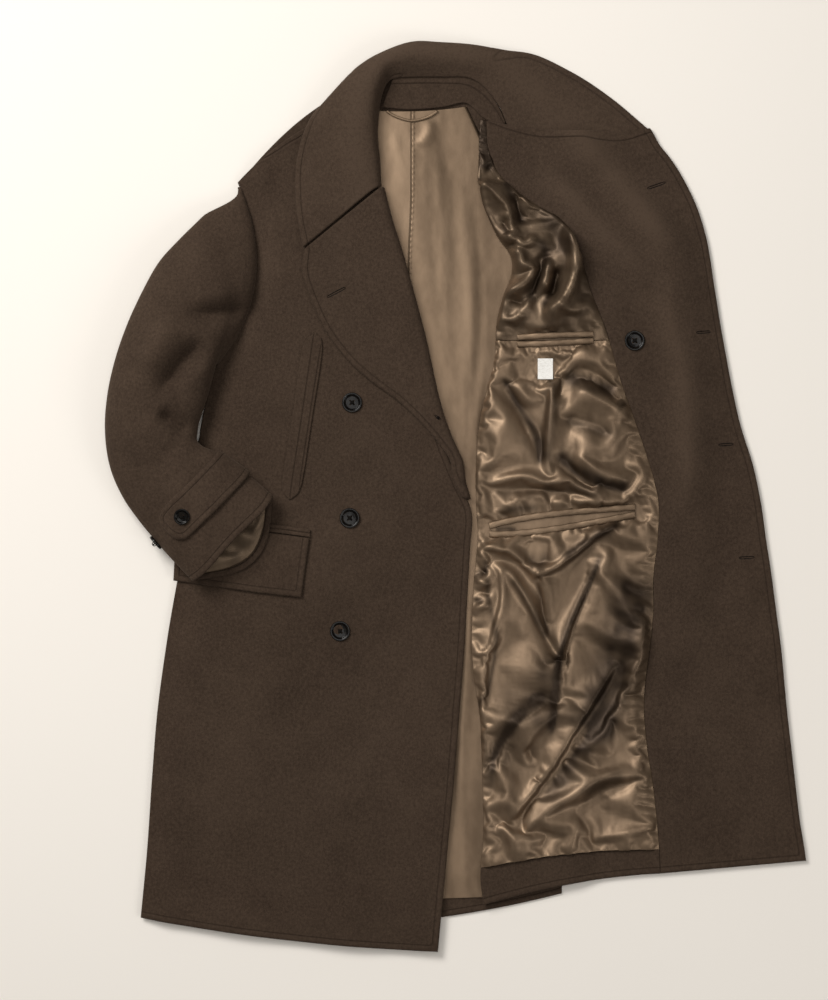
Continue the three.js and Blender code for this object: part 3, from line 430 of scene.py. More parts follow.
@dataclass
class Cloth:
    """Closed wall of cloth with rounded borders on a grid of places of its under side, in mm."""

    name: str
    under: Array
    thick: float
    stitched: tuple[Side, ...] = ()
    ring: bool = False
    seams: tuple[tuple[str, Array], ...] = ()
    # painted shading per place: above zero painted shade, below zero painted highlight
    painted_shading: Array | None = None
    floor: float = 0.0

    def build(self) -> bpy.types.Object:
        """Make the mesh object, in the frame's metres.

        Returns:
            The new object, smooth, with its distances from stitched borders and seams as attributes.
        """
        normal = grid_normals(self.under, self.ring)
        radius = self.thick / 2
        sides = (Side.HEAD, Side.FOOT) if self.ring else tuple(Side)
        gaps = {side: border_distance(self.under, side) for side in sides}
        nearest = np.minimum.reduce([gap for gap, _ in gaps.values()])
        bulge = radius * np.sqrt(1 - (1 - np.clip(nearest / radius, 0, 1)) ** 2)
        middle = self.under + normal * radius
        top = middle + normal * bulge[..., None]
        low = middle - normal * bulge[..., None]
        top[..., 2], low[..., 2] = np.maximum(top[..., 2], self.floor), np.maximum(low[..., 2], self.floor)
        piece, inner = self._wall(top, low)
        for name, grid in self._kept(gaps).items():
            values = np.concatenate([grid.reshape(-1), grid[inner]]).astype(np.float32)
            piece.data.attributes.new(name, "FLOAT", "POINT").data.foreach_set("value", values)
        return piece

    def _wall(self, top: Array, low: Array) -> tuple[bpy.types.Object, Array]:
        """Join the upper and the lower grid at their shared border vertices.

        Args:
            top: places of the upper side.
            low: places of the lower side.

        Returns:
            The new object, and which places have a second vertex on the lower side.
        """
        rows, columns = top.shape[:2]
        upper = np.arange(rows * columns).reshape(rows, columns)
        inner = np.zeros((rows, columns), bool)
        inner[1:-1, slice(None) if self.ring else slice(1, -1)] = True
        lower = upper.copy()
        lower[inner] = rows * columns + np.arange(inner.sum())
        if self.ring:
            upper, lower = (np.concatenate([index, index[:, :1]], axis=1) for index in (upper, lower))
        vertices = np.concatenate([top.reshape(-1, 3), low[inner]])
        faces = np.concatenate([quads(upper), quads(lower)[:, ::-1]])
        piece = mesh_of(self.name, (vertices - np.array([*MIDDLE, 0.0])) * MM, faces)
        piece.data.shade_smooth()
        return piece, inner

    def _kept(self, gaps: dict[Side, tuple[Array, Array]]) -> Fields:
        """Grids that the finishes read.

        Args:
            gaps: distance from each border and run along it, in mm.

        Returns:
            The grids under their attributes' names.
        """
        kept = {}
        if self.stitched:
            edge = np.stack([gaps[side][0] for side in self.stitched])
            run = np.stack([gaps[side][1] for side in self.stitched])
            first = edge.argmin(0)[None]
            kept["edge_in"] = np.take_along_axis(edge, first, 0)[0]
            kept["edge_run"] = np.take_along_axis(run, first, 0)[0]
        if self.painted_shading is not None:
            kept["painted_shading"] = np.clip(self.painted_shading, -1, 1)
        for name, line in self.seams:
            kept[name], kept[name + "_run"], _ = near_line(self.under[..., 0], self.under[..., 1], line)
        return kept

@dataclass(frozen=True)
class Settling:
    """Cloth simulation in which a lining with spare cloth, held at its seams, falls into folds.

    It runs at a larger scale than the scene, so that its collisions, which have a least distance, are
    fine enough. Lengths here are in mm.
    """

    step: float = 3.2
    spare: float = 0.05
    frames: int = 22
    quality: int = 6
    stiff: float = 12.0
    bending: float = 1.6
    mass: float = 0.12
    damping: float = 2.0
    gravity: float = 0.08
    clearance: float = 0.3
    scale: float = 0.01

    def fall(self, start: Array, held: Array, bed: Array) -> Array:
        """Let the cloth fall on its bed.

        Args:
            start: evenly spaced grid of its places in mm, with its given creases.
            held: which of them are sewn down.
            bed: grid of places of the cloth below.

        Returns:
            Grid of places where it comes to lie, in mm.
        """
        below = self._sheet("settling_bed", bed)
        below.modifiers.new("bed", "COLLISION")
        below.collision.thickness_outer = self.clearance * self.scale
        cloth = self._sheet("settling_cloth", start)
        cloth.vertex_groups.new(name="held").add(np.flatnonzero(held.reshape(-1)).tolist(), 1.0, "REPLACE")
        modifier = cloth.modifiers.new("settling", "CLOTH")
        modifier.point_cache.frame_start, modifier.point_cache.frame_end = 1, self.frames
        modifier.collision_settings.distance_min = self.clearance * self.scale
        settings = modifier.settings
        settings.quality, settings.mass, settings.air_damping = self.quality, self.mass, self.damping
        settings.tension_stiffness = settings.compression_stiffness = self.stiff
        settings.shear_stiffness, settings.bending_stiffness = self.stiff / 2, self.bending
        settings.shrink_min, settings.vertex_group_mass = -self.spare, "held"
        settings.effector_weights.gravity = self.gravity
        for frame in range(1, self.frames + 1):
            bpy.context.scene.frame_set(frame)
        settled = cloth.evaluated_get(bpy.context.evaluated_depsgraph_get())
        found = np.empty(start.size, np.float32)
        settled.data.vertices.foreach_get("co", found)
        bpy.context.scene.frame_set(1)
        for piece in (cloth, below):
            bpy.data.objects.remove(piece)
        return found.reshape(start.shape).astype(float) / self.scale

    def _sheet(self, name: str, grid: Array) -> bpy.types.Object:
        """Plain sheet on a grid of places, in the simulation's own scale."""
        index = np.arange(grid.shape[0] * grid.shape[1]).reshape(grid.shape[:2])
        return mesh_of(name, grid.reshape(-1, 3) * self.scale, quads(index))


class Value:
    """One socket of a shader, so that shader maths is written as Python expressions."""

    def __init__(self, tree: bpy.types.NodeTree, socket: bpy.types.NodeSocket) -> None:
        """Keep the socket and the tree that it is in."""
        self.tree = tree
        self.socket = socket

    def _math(self, operation: str, *inputs: "Value | float") -> "Value":
        """Add a Math node."""
        return Shader.add(self.tree, "ShaderNodeMath", {"operation": operation}, dict(enumerate(inputs)))

    def __add__(self, other: "Value | float") -> "Value":
        """Sum."""
        return self._math("ADD", self, other)

    __radd__ = __add__

    def __mul__(self, other: "Value | float") -> "Value":
        """Product."""
        return self._math("MULTIPLY", self, other)

    __rmul__ = __mul__

    def __sub__(self, other: "Value | float") -> "Value":
        """Difference."""
        return self._math("SUBTRACT", self, other)

    def __rsub__(self, other: float) -> "Value":
        """Difference from a number."""
        return self._math("SUBTRACT", other, self)

    def __truediv__(self, other: "Value | float") -> "Value":
        """Quotient."""
        return self._math("DIVIDE", self, other)

    def __pow__(self, other: float) -> "Value":
        """Power."""
        return self._math("POWER", self, other)

    def fraction(self) -> "Value":
        """Part after the decimal point."""
        return self._math("FRACT", self)

    def bell(self, centre: float, width: float) -> "Value":
        """1 at centre, falling softly to 0 at width beside it."""
        return self._math("EXPONENT", ((self - centre) / width) ** 2.0 * -1.0)

    def eased(self, low: float, high: float) -> "Value":
        """Smooth rise from 0 at low to 1 at high."""
        settings = {"interpolation_type": "SMOOTHSTEP"}
        return Shader.add(self.tree, "ShaderNodeMapRange", settings, {"Value": self, 1: low, 2: high})


class Shader:
    """A procedural material round one Principled shader."""

    def __init__(self, name: str) -> None:
        """Start an empty material.

        Args:
            name: its name.
        """
        self.material = bpy.data.materials.new(name)
        self.material.use_nodes = True
        self.tree = self.material.node_tree
        self.tree.nodes.clear()
        self.base = self.tree.nodes.new("ShaderNodeBsdfPrincipled")
        output = self.tree.nodes.new("ShaderNodeOutputMaterial")
        self.tree.links.new(self.base.outputs[0], output.inputs[0])
        self.place = self.add(self.tree, "ShaderNodeTexCoord", {}, {}, "Object")

    @staticmethod
    def add(
        tree: bpy.types.NodeTree, kind: str, settings: dict, inputs: dict, output: str | int = 0
    ) -> Value:
        """Add any node.

        Args:
            tree: the material's tree.
            kind: the node's type.
            settings: its properties, such as a Math node's operation.
            inputs: numbers, colours or values for its sockets, by name or number.
            output: the socket that is read.

        Returns:
            The value of that socket.
        """
        node = tree.nodes.new(kind)
        for key, setting in settings.items():
            setattr(node, key, setting)
        for key, given in inputs.items():
            if isinstance(given, Value):
                tree.links.new(given.socket, node.inputs[key])
            else:
                node.inputs[key].default_value = given
        return Value(tree, node.outputs[output])

    def noise(self, size: float, detail: float = 2.0, squeeze: Triple = (1, 1, 1)) -> Value:
        """Noise from about 0 to 1.

        Args:
            size: breadth of its patches in metres.
            detail: how many finer layers it has.
            squeeze: how much denser it is along each axis.

        Returns:
            The value.
        """
        turned = self.add(self.tree, "ShaderNodeMapping", {}, {"Vector": self.place, "Scale": squeeze})
        inputs = {"Vector": turned, "Scale": 1 / size, "Detail": detail}
        return self.add(self.tree, "ShaderNodeTexNoise", {}, inputs)

    def attribute(self, name: str) -> Value:
        """Number that the mesh keeps under a name."""
        return self.add(self.tree, "ShaderNodeAttribute", {"attribute_name": name}, {}, "Fac")

    def blend(self, share: Value, low: Colour | Value, high: Colour) -> Value:
        """Colour between two at a share from 0 to 1."""
        settings = {"data_type": "RGBA"}
        return self.add(self.tree, "ShaderNodeMix", settings, {0: share, 6: low, 7: high}, 2)

    def set(self, **sockets: float | tuple) -> None:
        """Set the shader's own sockets by name, with spaces written as low lines."""
        for name, given in sockets.items():
            self.base.inputs[name.replace("_", " ")].default_value = given

    def link(self, name: str, value: Value) -> None:
        """Lead a value that changes over the surface into a socket."""
        self.tree.links.new(value.socket, self.base.inputs[name])

    def bump(self, height_mm: Value) -> None:
        """Relief from heights in mm."""
        inputs = {"Height": height_mm, "Distance": MM, "Strength": 1.0}
        self.link("Normal", self.add(self.tree, "ShaderNodeBump", {}, inputs))


@dataclass(frozen=True)
class Melton:
    """Thick fulled wool with a short nap, topstitched beside its edges.

    Noise sizes are in metres; what lies beside an edge or a seam is in mm.
    """

    dark: Colour = (0.028, 0.0175, 0.0115, 1)
    light: Colour = (0.066, 0.044, 0.030, 1)
    nap: float = 0.0011
    hair: float = 0.0016
    mottle: float = 0.0034
    cloud: float = 0.045
    stitch_in: float = 7.5
    stitch_long: float = 3.6
    stitch_wide: float = 0.75
    # strength of the painted shade and painted highlight taken from the painted_shading attribute
    painted_shading: float = 0.55
    seam_wide: float = 0.7
    seam_shade: float = 0.75
    roughness: float = 0.9
    sheen: float = 0.1
    sheen_tint: Colour = (0.7, 0.52, 0.38, 1)

    def material(
        self, name: str, edged: bool = False, seams: tuple[str, ...] = (), with_painted_shading: bool = False
    ) -> bpy.types.Material:
        """Make the cloth's material.

        Args:
            name: the material's name.
            edged: whether the piece keeps edge_in and edge_run for its topstitching.
            seams: the names of signed distances to seams that cross it.
            with_painted_shading: whether the piece keeps painted shading, darker above zero and a painted
                highlight below zero.

        Returns:
            The material.
        """
        shader = Shader(name)
        fine, mottle, cloud = shader.noise(self.nap, 3.0), shader.noise(self.mottle), shader.noise(self.cloud)
        hairs = shader.noise(self.hair, 2.0, (1.0, 0.32, 1.0))
        height = fine * 0.34 + mottle * 0.24 + hairs * 0.2
        shade = fine * 0.3 + mottle * 0.34 + cloud * 0.16 + hairs * 0.2
        dimmed = shade.eased(0.28, 0.74)
        if edged:
            edge, run = shader.attribute("edge_in"), shader.attribute("edge_run")
            line = edge.bell(self.stitch_in, self.stitch_wide)
            dashes = (run / self.stitch_long).fraction().eased(0.1, 0.35)
            turned = edge.bell(self.stitch_in * 0.5, 3.0) * 0.75
            height = height - line * (0.55 + 0.25 * dashes) + turned
            dimmed = dimmed * (1 - line * 0.5) - edge.bell(0.0, 1.0) * 0.12
        # painted shading: darker where the attribute is above zero, a painted highlight where it is below
        # zero
        if with_painted_shading:
            dimmed = dimmed - shader.attribute("painted_shading") * self.painted_shading
        for seam in seams:
            gap = shader.attribute(seam)
            height = height - gap.bell(0.0, 0.9) * 0.9 + gap.bell(2.4, 1.7) * 0.3
            dimmed = dimmed * (1 - gap.bell(0.0, self.seam_wide) * self.seam_shade)
        shader.link("Base Color", shader.blend(dimmed, self.dark, self.light))
        shader.bump(height)
        shader.set(Roughness=self.roughness, Specular_IOR_Level=0.12)
        shader.set(Sheen_Weight=self.sheen, Sheen_Roughness=0.45, Sheen_Tint=self.sheen_tint)
        return shader.material


@dataclass(frozen=True)
class Satin:
    """Lining satin: soft lustre, fine wrinkles and faint streaks along its warp.

    Noise sizes are in metres; what lies beside a seam is in mm.
    """

    dark: Colour = (0.14, 0.094, 0.058, 1)
    light: Colour = (0.25, 0.173, 0.111, 1)
    # colour of the painted shade in the deepest folds
    deep: Colour = (0.024, 0.014, 0.0075, 1)
    weave: float = 0.0006
    crumple: float = 0.012
    streak: float = 0.03
    wrinkle: float = 0.4
    pucker_long: float = 7.0
    metallic: float = 0.7
    roughness: float = 0.43
    sheen: float = 0.03
    sheen_tint: Colour = (0.8, 0.6, 0.42, 1)

    def material(self, name: str, seams: tuple[str, ...] = (), with_painted_shading: bool = False) -> bpy.types.Material:
        """Make the satin's material.

        Args:
            name: the material's name.
            seams: the names of signed distances to seams that cross it.
            with_painted_shading: whether the piece keeps painted shade for how deep its folds lie in each
                other's shade.

        Returns:
            The material.
        """
        shader = Shader(name)
        weave = shader.noise(self.weave, 2.0, (1.0, 0.5, 1.0))
        wrinkle = shader.noise(self.crumple, 3.0, (1.0, 0.55, 1.0))
        streak = shader.noise(self.streak, 2.0, (1.0, 0.12, 1.0))
        height = weave * 0.03 + wrinkle * self.wrinkle + streak * 0.2
        tone = (wrinkle * 0.3 + streak * 0.7).eased(0.3, 0.7)
        for seam in seams:
            gap = shader.attribute(seam)
            puckers = (shader.attribute(seam + "_run") / self.pucker_long).fraction().bell(0.5, 0.28)
            height = height - gap.bell(0.0, 0.8) * 0.8 + gap.bell(2.2, 1.6) * (0.2 + 0.35 * puckers)
            tone = tone * (1 - gap.bell(0.0, 0.7) * 0.8)
        colour = shader.blend(tone, self.dark, self.light)
        # painted shade: the colour is blended towards the deep colour where the folds shade each other
        if with_painted_shading:
            colour = shader.blend(shader.attribute("painted_shading"), colour, self.deep)
        shader.link("Base Color", colour)
        shader.link("Roughness", self.roughness + 0.1 * weave)
        shader.bump(height)
        shader.set(Metallic=self.metallic)
        shader.set(Sheen_Weight=self.sheen, Sheen_Roughness=0.3, Sheen_Tint=self.sheen_tint)
        return shader.material


@dataclass(frozen=True)
class Horn:
    """Polished black button."""

    base: Colour = (0.003, 0.0025, 0.0025, 1)
    brown: Colour = (0.009, 0.007, 0.005, 1)
    cloud: float = 0.004
    scratch: float = 0.0009
    roughness: float = 0.16
    coat: float = 0.1
    specular: float = 0.16

    def material(self, name: str) -> bpy.types.Material:
        """Make the button's material.

        Args:
            name: its name.

        Returns:
            The material.
        """
        shader = Shader(name)
        cloud, scratch = shader.noise(self.cloud, 3.0), shader.noise(self.scratch, 4.0, (1.0, 0.2, 1.0))
        shader.link("Base Color", shader.blend(cloud.eased(0.45, 0.7), self.base, self.brown))
        shader.link("Roughness", self.roughness + 0.1 * scratch)
        shader.bump(cloud * 0.02 + scratch * 0.006)
        shader.set(Coat_Weight=self.coat, Coat_Roughness=0.05, Specular_IOR_Level=self.specular)
        return shader.material


@dataclass(frozen=True)
class Tape:
    """Bare woven label tape."""

    base: Colour = (0.62, 0.6, 0.56, 1)
    light: Colour = (0.86, 0.85, 0.82, 1)
    weft: float = 0.0007
    slub: float = 0.003

    def material(self, name: str) -> bpy.types.Material:
        """Make the label's material.

        Args:
            name: its name.

        Returns:
            The material.
        """
        shader = Shader(name)
        weft, slub = shader.noise(self.weft, 2.0, (0.3, 1.0, 1.0)), shader.noise(self.slub)
        tone = (weft * 0.6 + slub * 0.4).eased(0.2, 0.6)
        shader.link("Base Color", shader.blend(tone, self.base, self.light))
        shader.bump(weft * 0.08 + slub * 0.1)
        shader.set(Roughness=0.7, Sheen_Weight=0.1)
        return shader.material


@dataclass(frozen=True)
class Dress:
    """How a finished piece stands in the scene."""

    material: bpy.types.Material
    slot: Slot
    replaces: tuple[str, ...]

    def on(self, piece: bpy.types.Object) -> bpy.types.Object:
        """Give the piece its finish and its body, and hide the nodes that it stands for.

        Args:
            piece: the finished mesh object.

        Returns:
            The same piece.
        """
        piece.data.materials.clear()
        piece.data.materials.append(self.material)
        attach(piece, BODY)
        if self.replaces:
            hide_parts(*self.replaces)
        LOG.info("%s: %d faces", piece.name, len(piece.data.polygons))
        return piece


@dataclass(frozen=True)
class Cut:
    """Flat cut of a sheet in metres, and how it lies."""

    wide: float
    long: float
    held: str
    rests_on: tuple[str, ...]
    area: float | None = None


def lay(cloth: Cloth, dress: Dress) -> bpy.types.Object:
    """Build and dress one piece of cloth.

    Args:
        cloth: its wall.
        dress: its finish and the nodes that it stands for.

    Returns:
        The finished piece.
    """
    piece = dress.on(cloth.build())
    return piece


@dataclass(frozen=True)
class Stack:
    """Cloth thicknesses and how the layers of the laid coat lie on each other, in mm."""

    wool: float = 2.5
    double_wool: float = 4.5
    satin: float = 1.2
    seam_gap: float = 0.3
    lay_gap: float = 0.6
    back_set_in: float = 1.3
    side_fold: float = 34.0
    front_gap: float = 1.0
    cover_slope: Ends = (8, 52)
    back_slope: Ends = (10, 50)
    front_loft: float = 3.0
    front: Rows = Rows(
        "lx ly rx ry rise",
        (-274, 394, -114, 488, 18),
        (-267, 375, -108, 424, 10),
        (-257, 341, -97, 370, 2),
        (-252, 295, -77, 309, 0),
        (-258, 247, -57, 239, 0),
        (-277, 200, -42, 180, 0),
        (-300, 167, -32, 124, 0),
        (-316, 110, -18, 70, 0),
        (-325, 55, 1, 22, 0),
        (-333, -4, 18, -18, 0),
        (-341, -59, 16, -64, 0),
        (-351, -112, 13, -116, 0),
        (-362, -176, 9, -184, 0),
        (-374, -264, 2, -274, 0),
        (-381, -350, -5, -362, 0),
        (-387, -438, -14, -458, -3),
        (-395, -524, -24, -566, -7),
    )
    back: Rows = Rows(
        "ly rx ry rise",
        (393, 146, 395, 98),
        (295, 146, 300, 62),
        (167, 144, 165, 14),
        (55, 142, 55, 0),
        (-59, 140, -60, -2),
        (-176, 138, -176, -6),
        (-310, 135, -300, -14),
        (-438, 132, -415, -22),
        (-521, 131, -494, -27),
    )
    hidden_sleeve: Rows = Rows(
        "x y half thick",
        (158, 282, 82, 7),
        (198, 266, 70, 9),
        (218, 222, 58, 9),
        (229, 160, 55, 9),
        (234, 80, 54, 9),
        (236, 0, 52, 8),
        (234, -80, 50, 7),
        (230, -150, 48, 5),
    )
    front_folds: tuple[Crease, ...] = (
        Crease(((-84, -60), (-120, -170), (-200, -250), (-228, -352)), -3, 42),
        Crease(((-30, -120), (-56, -300), (-90, -480)), 3.2, 55),
        Crease(((-250, -180), (-276, -300), (-290, -440)), 3.2, 52),
        Crease(((-150, -10), (-140, -70), (-120, -130)), 2.6, 45),
        Crease(((-225, 370), (-238, 300), (-240, 250)), 3, 26),
        Crease(((-214, 420), (-226, 400), (-240, 366)), -2.2, 14),
        Crease(((-120, -350), (-128, -440), (-132, -545)), -1.6, 34),
        Crease(((-330, -250), (-344, -360), (-352, -490)), -1.5, 26),
    )

    @property
    def lining_under(self) -> float:
        """Under side of the back lining."""
        return self.wool + self.seam_gap

    @property
    def lining_top(self) -> float:
        """Upper side of the back lining."""
        return self.lining_under + self.satin

    @property
    def front_rest(self) -> float:
        """Least height of the right front above the floor."""
        return self.lining_top + self.front_gap

    def side_x(self, y: Array) -> Array:
        """Left border of the right front at a height y."""
        return self.front.at(self.front.share("ly", y))["lx"]

    def back_right_x(self, y: Array) -> Array:
        """Right border of the back at a height y."""
        return self.back.at(self.back.share("ry", y))["rx"]

    def front_under(self, x: Array, y: Array) -> Array:
        """Under side of the right front.

        Args:
            x: places across in mm.
            y: places up in mm.

        Returns:
            Heights in mm.
        """
        inside = ramp(x - self.side_x(y), 0, self.side_fold)
        loft = self.front_loft + creased(self.front_folds, x, y)
        return mix(self.lining_under, self.front_rest + loft, inside)

    def front_top(self, x: Array, y: Array) -> Array:
        """Upper side of the right front."""
        return self.front_under(x, y) + self.wool

    def hidden_cover(self, x: Array, y: Array) -> Array:
        """Height of the hidden sleeve under the opened front.

        Args:
            x: places across in mm.
            y: places up in mm.

        Returns:
            Heights in mm, falling to 0 beside the sleeve.
        """
        cover = np.zeros(x.shape)
        for v in np.linspace(0, 1, 49):
            row = self.hidden_sleeve.at(np.array(v))
            away = np.hypot(x - row["x"], y - row["y"]) - row["half"]
            cover = np.maximum(cover, (row["thick"] + self.lay_gap) * (1 - ramp(away, *self.cover_slope)))
        return cover

    def open_under(self, x: Array, y: Array) -> Array:
        """Under side of the opened front: on the back, on the hidden sleeve, then on the floor."""
        on_back = self.front_rest * (1 - ramp(x - self.back_right_x(y), *self.back_slope))
        return smooth_max(on_back, self.hidden_cover(x, y))


STACK = Stack()


def panel(rows: Rows, step: float, tight: tuple[bool, ...] = (True, True, True, True)) -> Grid:
    """Grid of places on a panel whose rows have left (l) and right (r) ends and a rise between.

    Args:
        rows: the panel's table.
        step: usual distance of two grid lines in mm.
        tight: whether the left, right, head and foot borders have fine steps.

    Returns:
        Places x and y, and shares u across and v down, each shaped (rows, columns).
    """
    ends = rows.at(np.linspace(0, 1, 60))
    wide = float(np.mean(np.hypot(ends["rx"] - ends["lx"], ends["ry"] - ends["ly"])))
    long = float(np.sum(np.hypot(np.diff(ends["rx"]), np.diff(ends["ry"]))))
    u, v = np.meshgrid(stations(wide, step, tight[:2]), stations(long, step, tight[2:]))
    row = rows.at(v)
    rise = row.get("rise", 0.0) * 4 * u * (1 - u)
    return mix(row["lx"], row["rx"], u), mix(row["ly"], row["ry"], u) + rise, u, v


def places(x: Array, y: Array, z: Array) -> Array:
    """Grid of places from its three coordinates."""
    return np.stack([x, y, z + np.zeros(x.shape)], -1)


@dataclass
class Back:
    """Back panel with its outer side down, its lining and the loop for hanging."""

    melton: Melton = Melton()
    satin: Satin = Satin()
    step: float = 8.0
    lining_step: float = 3.2
    lining: Rows = Rows(
        "lx ly rx ry rise",
        (-101, 484, 12, 489, -3),
        (-109, 430, 40, 430, 0),
        (-92, 345, 80, 345, 0),
        (-68, 260, 92, 260, 0),
        (-44, 175, 78, 175, 0),
        (-24, 90, 62, 90, 0),
        (-6, 0, 60, 0, 0),
        (-8, -100, 58, -100, 0),
        (-12, -200, 56, -200, 0),
        (-18, -300, 56, -300, 0),
        (-26, -400, 58, -400, 0),
        (-36, -501, 62, -498, 0),
    )
    lining_folds: tuple[Crease, ...] = (
        Crease(((10, 450), (16, 330), (20, 230), (16, 110)), 3.4, 9, 14),
        Crease(((30, 404), (34, 300), (28, 190), (14, 70)), -2, 10),
        Crease(((-58, 470), (-58, 360), (-61, 280)), 1.8, 8, 12),
        Crease(((-46, 466), (-42, 400), (-38, 300), (-26, 180)), 2.6, 13),
        Crease(((-20, 474), (-22, 380), (-16, 240), (-6, 90)), 2.4, 12, 8),
        Crease(((-84, 468), (-72, 420), (-66, 360)), 2.2, 9),
        Crease(((-30, 474), (-36, 452), (-52, 436)), 3, 7),
        Crease(((0, 468), (-8, 440), (-14, 400)), -2.2, 8),
        Crease(((48, 300), (40, 200), (26, 80), (14, 20)), 2.8, 11),
        Crease(((-40, 250), (-26, 190), (-14, 120)), -1.6, 10),
        Crease(((16, -60), (12, -200), (6, -330), (2, -470)), 2.2, 7),
    )
    neck_tuck: float = 34.0
    centre_seam: Line = ((-57, 486), (-57, 420), (-57.5, 365), (-60, 310), (-61, 278))
    loop_lift: float = 2.3
    loop_radius: float = 1.7
    loop_thick: float = 0.8
    loop: Line = ((-88, 483), (-76, 476), (-57, 471), (-38, 475), (-24, 483))

    def build(self) -> None:
        """Make the back's pieces."""
        columns = STACK.back.columns
        left = STACK.side_x(columns["ly"]) + STACK.back_set_in
        ends = Rows("lx ly rx ry rise", *zip(left, *(columns[key] for key in ("ly", "rx", "ry", "rise"))))
        x, y, u, v = panel(ends, self.step)
        y = y + self.neck_tuck * 4 * u * (1 - u) * (1 - ramp(v, 0, 0.12))
        x = np.maximum(x, STACK.side_x(y) + STACK.back_set_in)
        cloth = Cloth("back", places(x, y, 0 * x), STACK.wool, stitched=(Side.FOOT,))
        dress = Dress(self.melton.material("melton_back", edged=True), Slot.WOOL, ("back_panel",))
        lay(cloth, dress)
        self.build_lining()
        self.build_loop()

    def build_lining(self) -> None:
        """Make the satin that covers the back's inner side."""
        x, y, u, v = panel(self.lining, self.lining_step, (False, False, True, True))
        border = ramp(u, 0.1, 0.26) * ramp(1 - u, 0.3, 0.5) * ramp(np.minimum(v, 1 - v), 0, 0.03)
        relief = creased(self.lining_folds, x, y) + 0.7 * rumple(x, y, size=46, seed=3, stretch=5.0, turn=94)
        z = STACK.lining_under + np.maximum(relief + 0.8, 0) * border
        seams = (("centre_seam", smooth_line(self.centre_seam)),)
        cloth = Cloth("back_lining_satin", places(x, y, z), STACK.satin, seams=seams)
        dress = Dress(self.satin.material("satin_back", ("centre_seam",)), Slot.SATIN, ("back_lining",))
        lay(cloth, dress)

    def build_loop(self) -> None:
        """Make the narrow turned loop under the neck band."""
        line = smooth_line(self.loop, 12)
        middle = places(line[:, 0], line[:, 1], np.full(len(line), STACK.lining_top + self.loop_lift))
        cloth = Cloth("loop_satin", tube(middle, self.loop_radius, 12), self.loop_thick, ring=True)
        dress = Dress(self.satin.material("satin_loop"), Slot.SATIN, ("hanger_loop",))
        lay(cloth, dress)


def tube(middle: Array, radius: float, cells: int, flat: float = 0.75) -> Array:
    """Ring grid round a line that lies flat.

    Args:
        middle: the line's places, one a row.
        radius: half its width in mm.
        cells: places round it.
        flat: its height as a share of its width.

    Returns:
        Grid (along, round, 3), turning so that its normals point outwards.
    """
    along = np.gradient(middle, axis=0)
    aside = np.cross(np.array([0.0, 0.0, 1.0]), along)
    aside = aside / np.linalg.norm(aside, axis=-1, keepdims=True)
    turn = np.arange(cells) / cells * 2 * pi
    up = np.array([0.0, 0.0, radius * flat])
    return middle[:, None] + aside[:, None] * radius * np.cos(turn)[:, None] + up * np.sin(turn)[:, None]


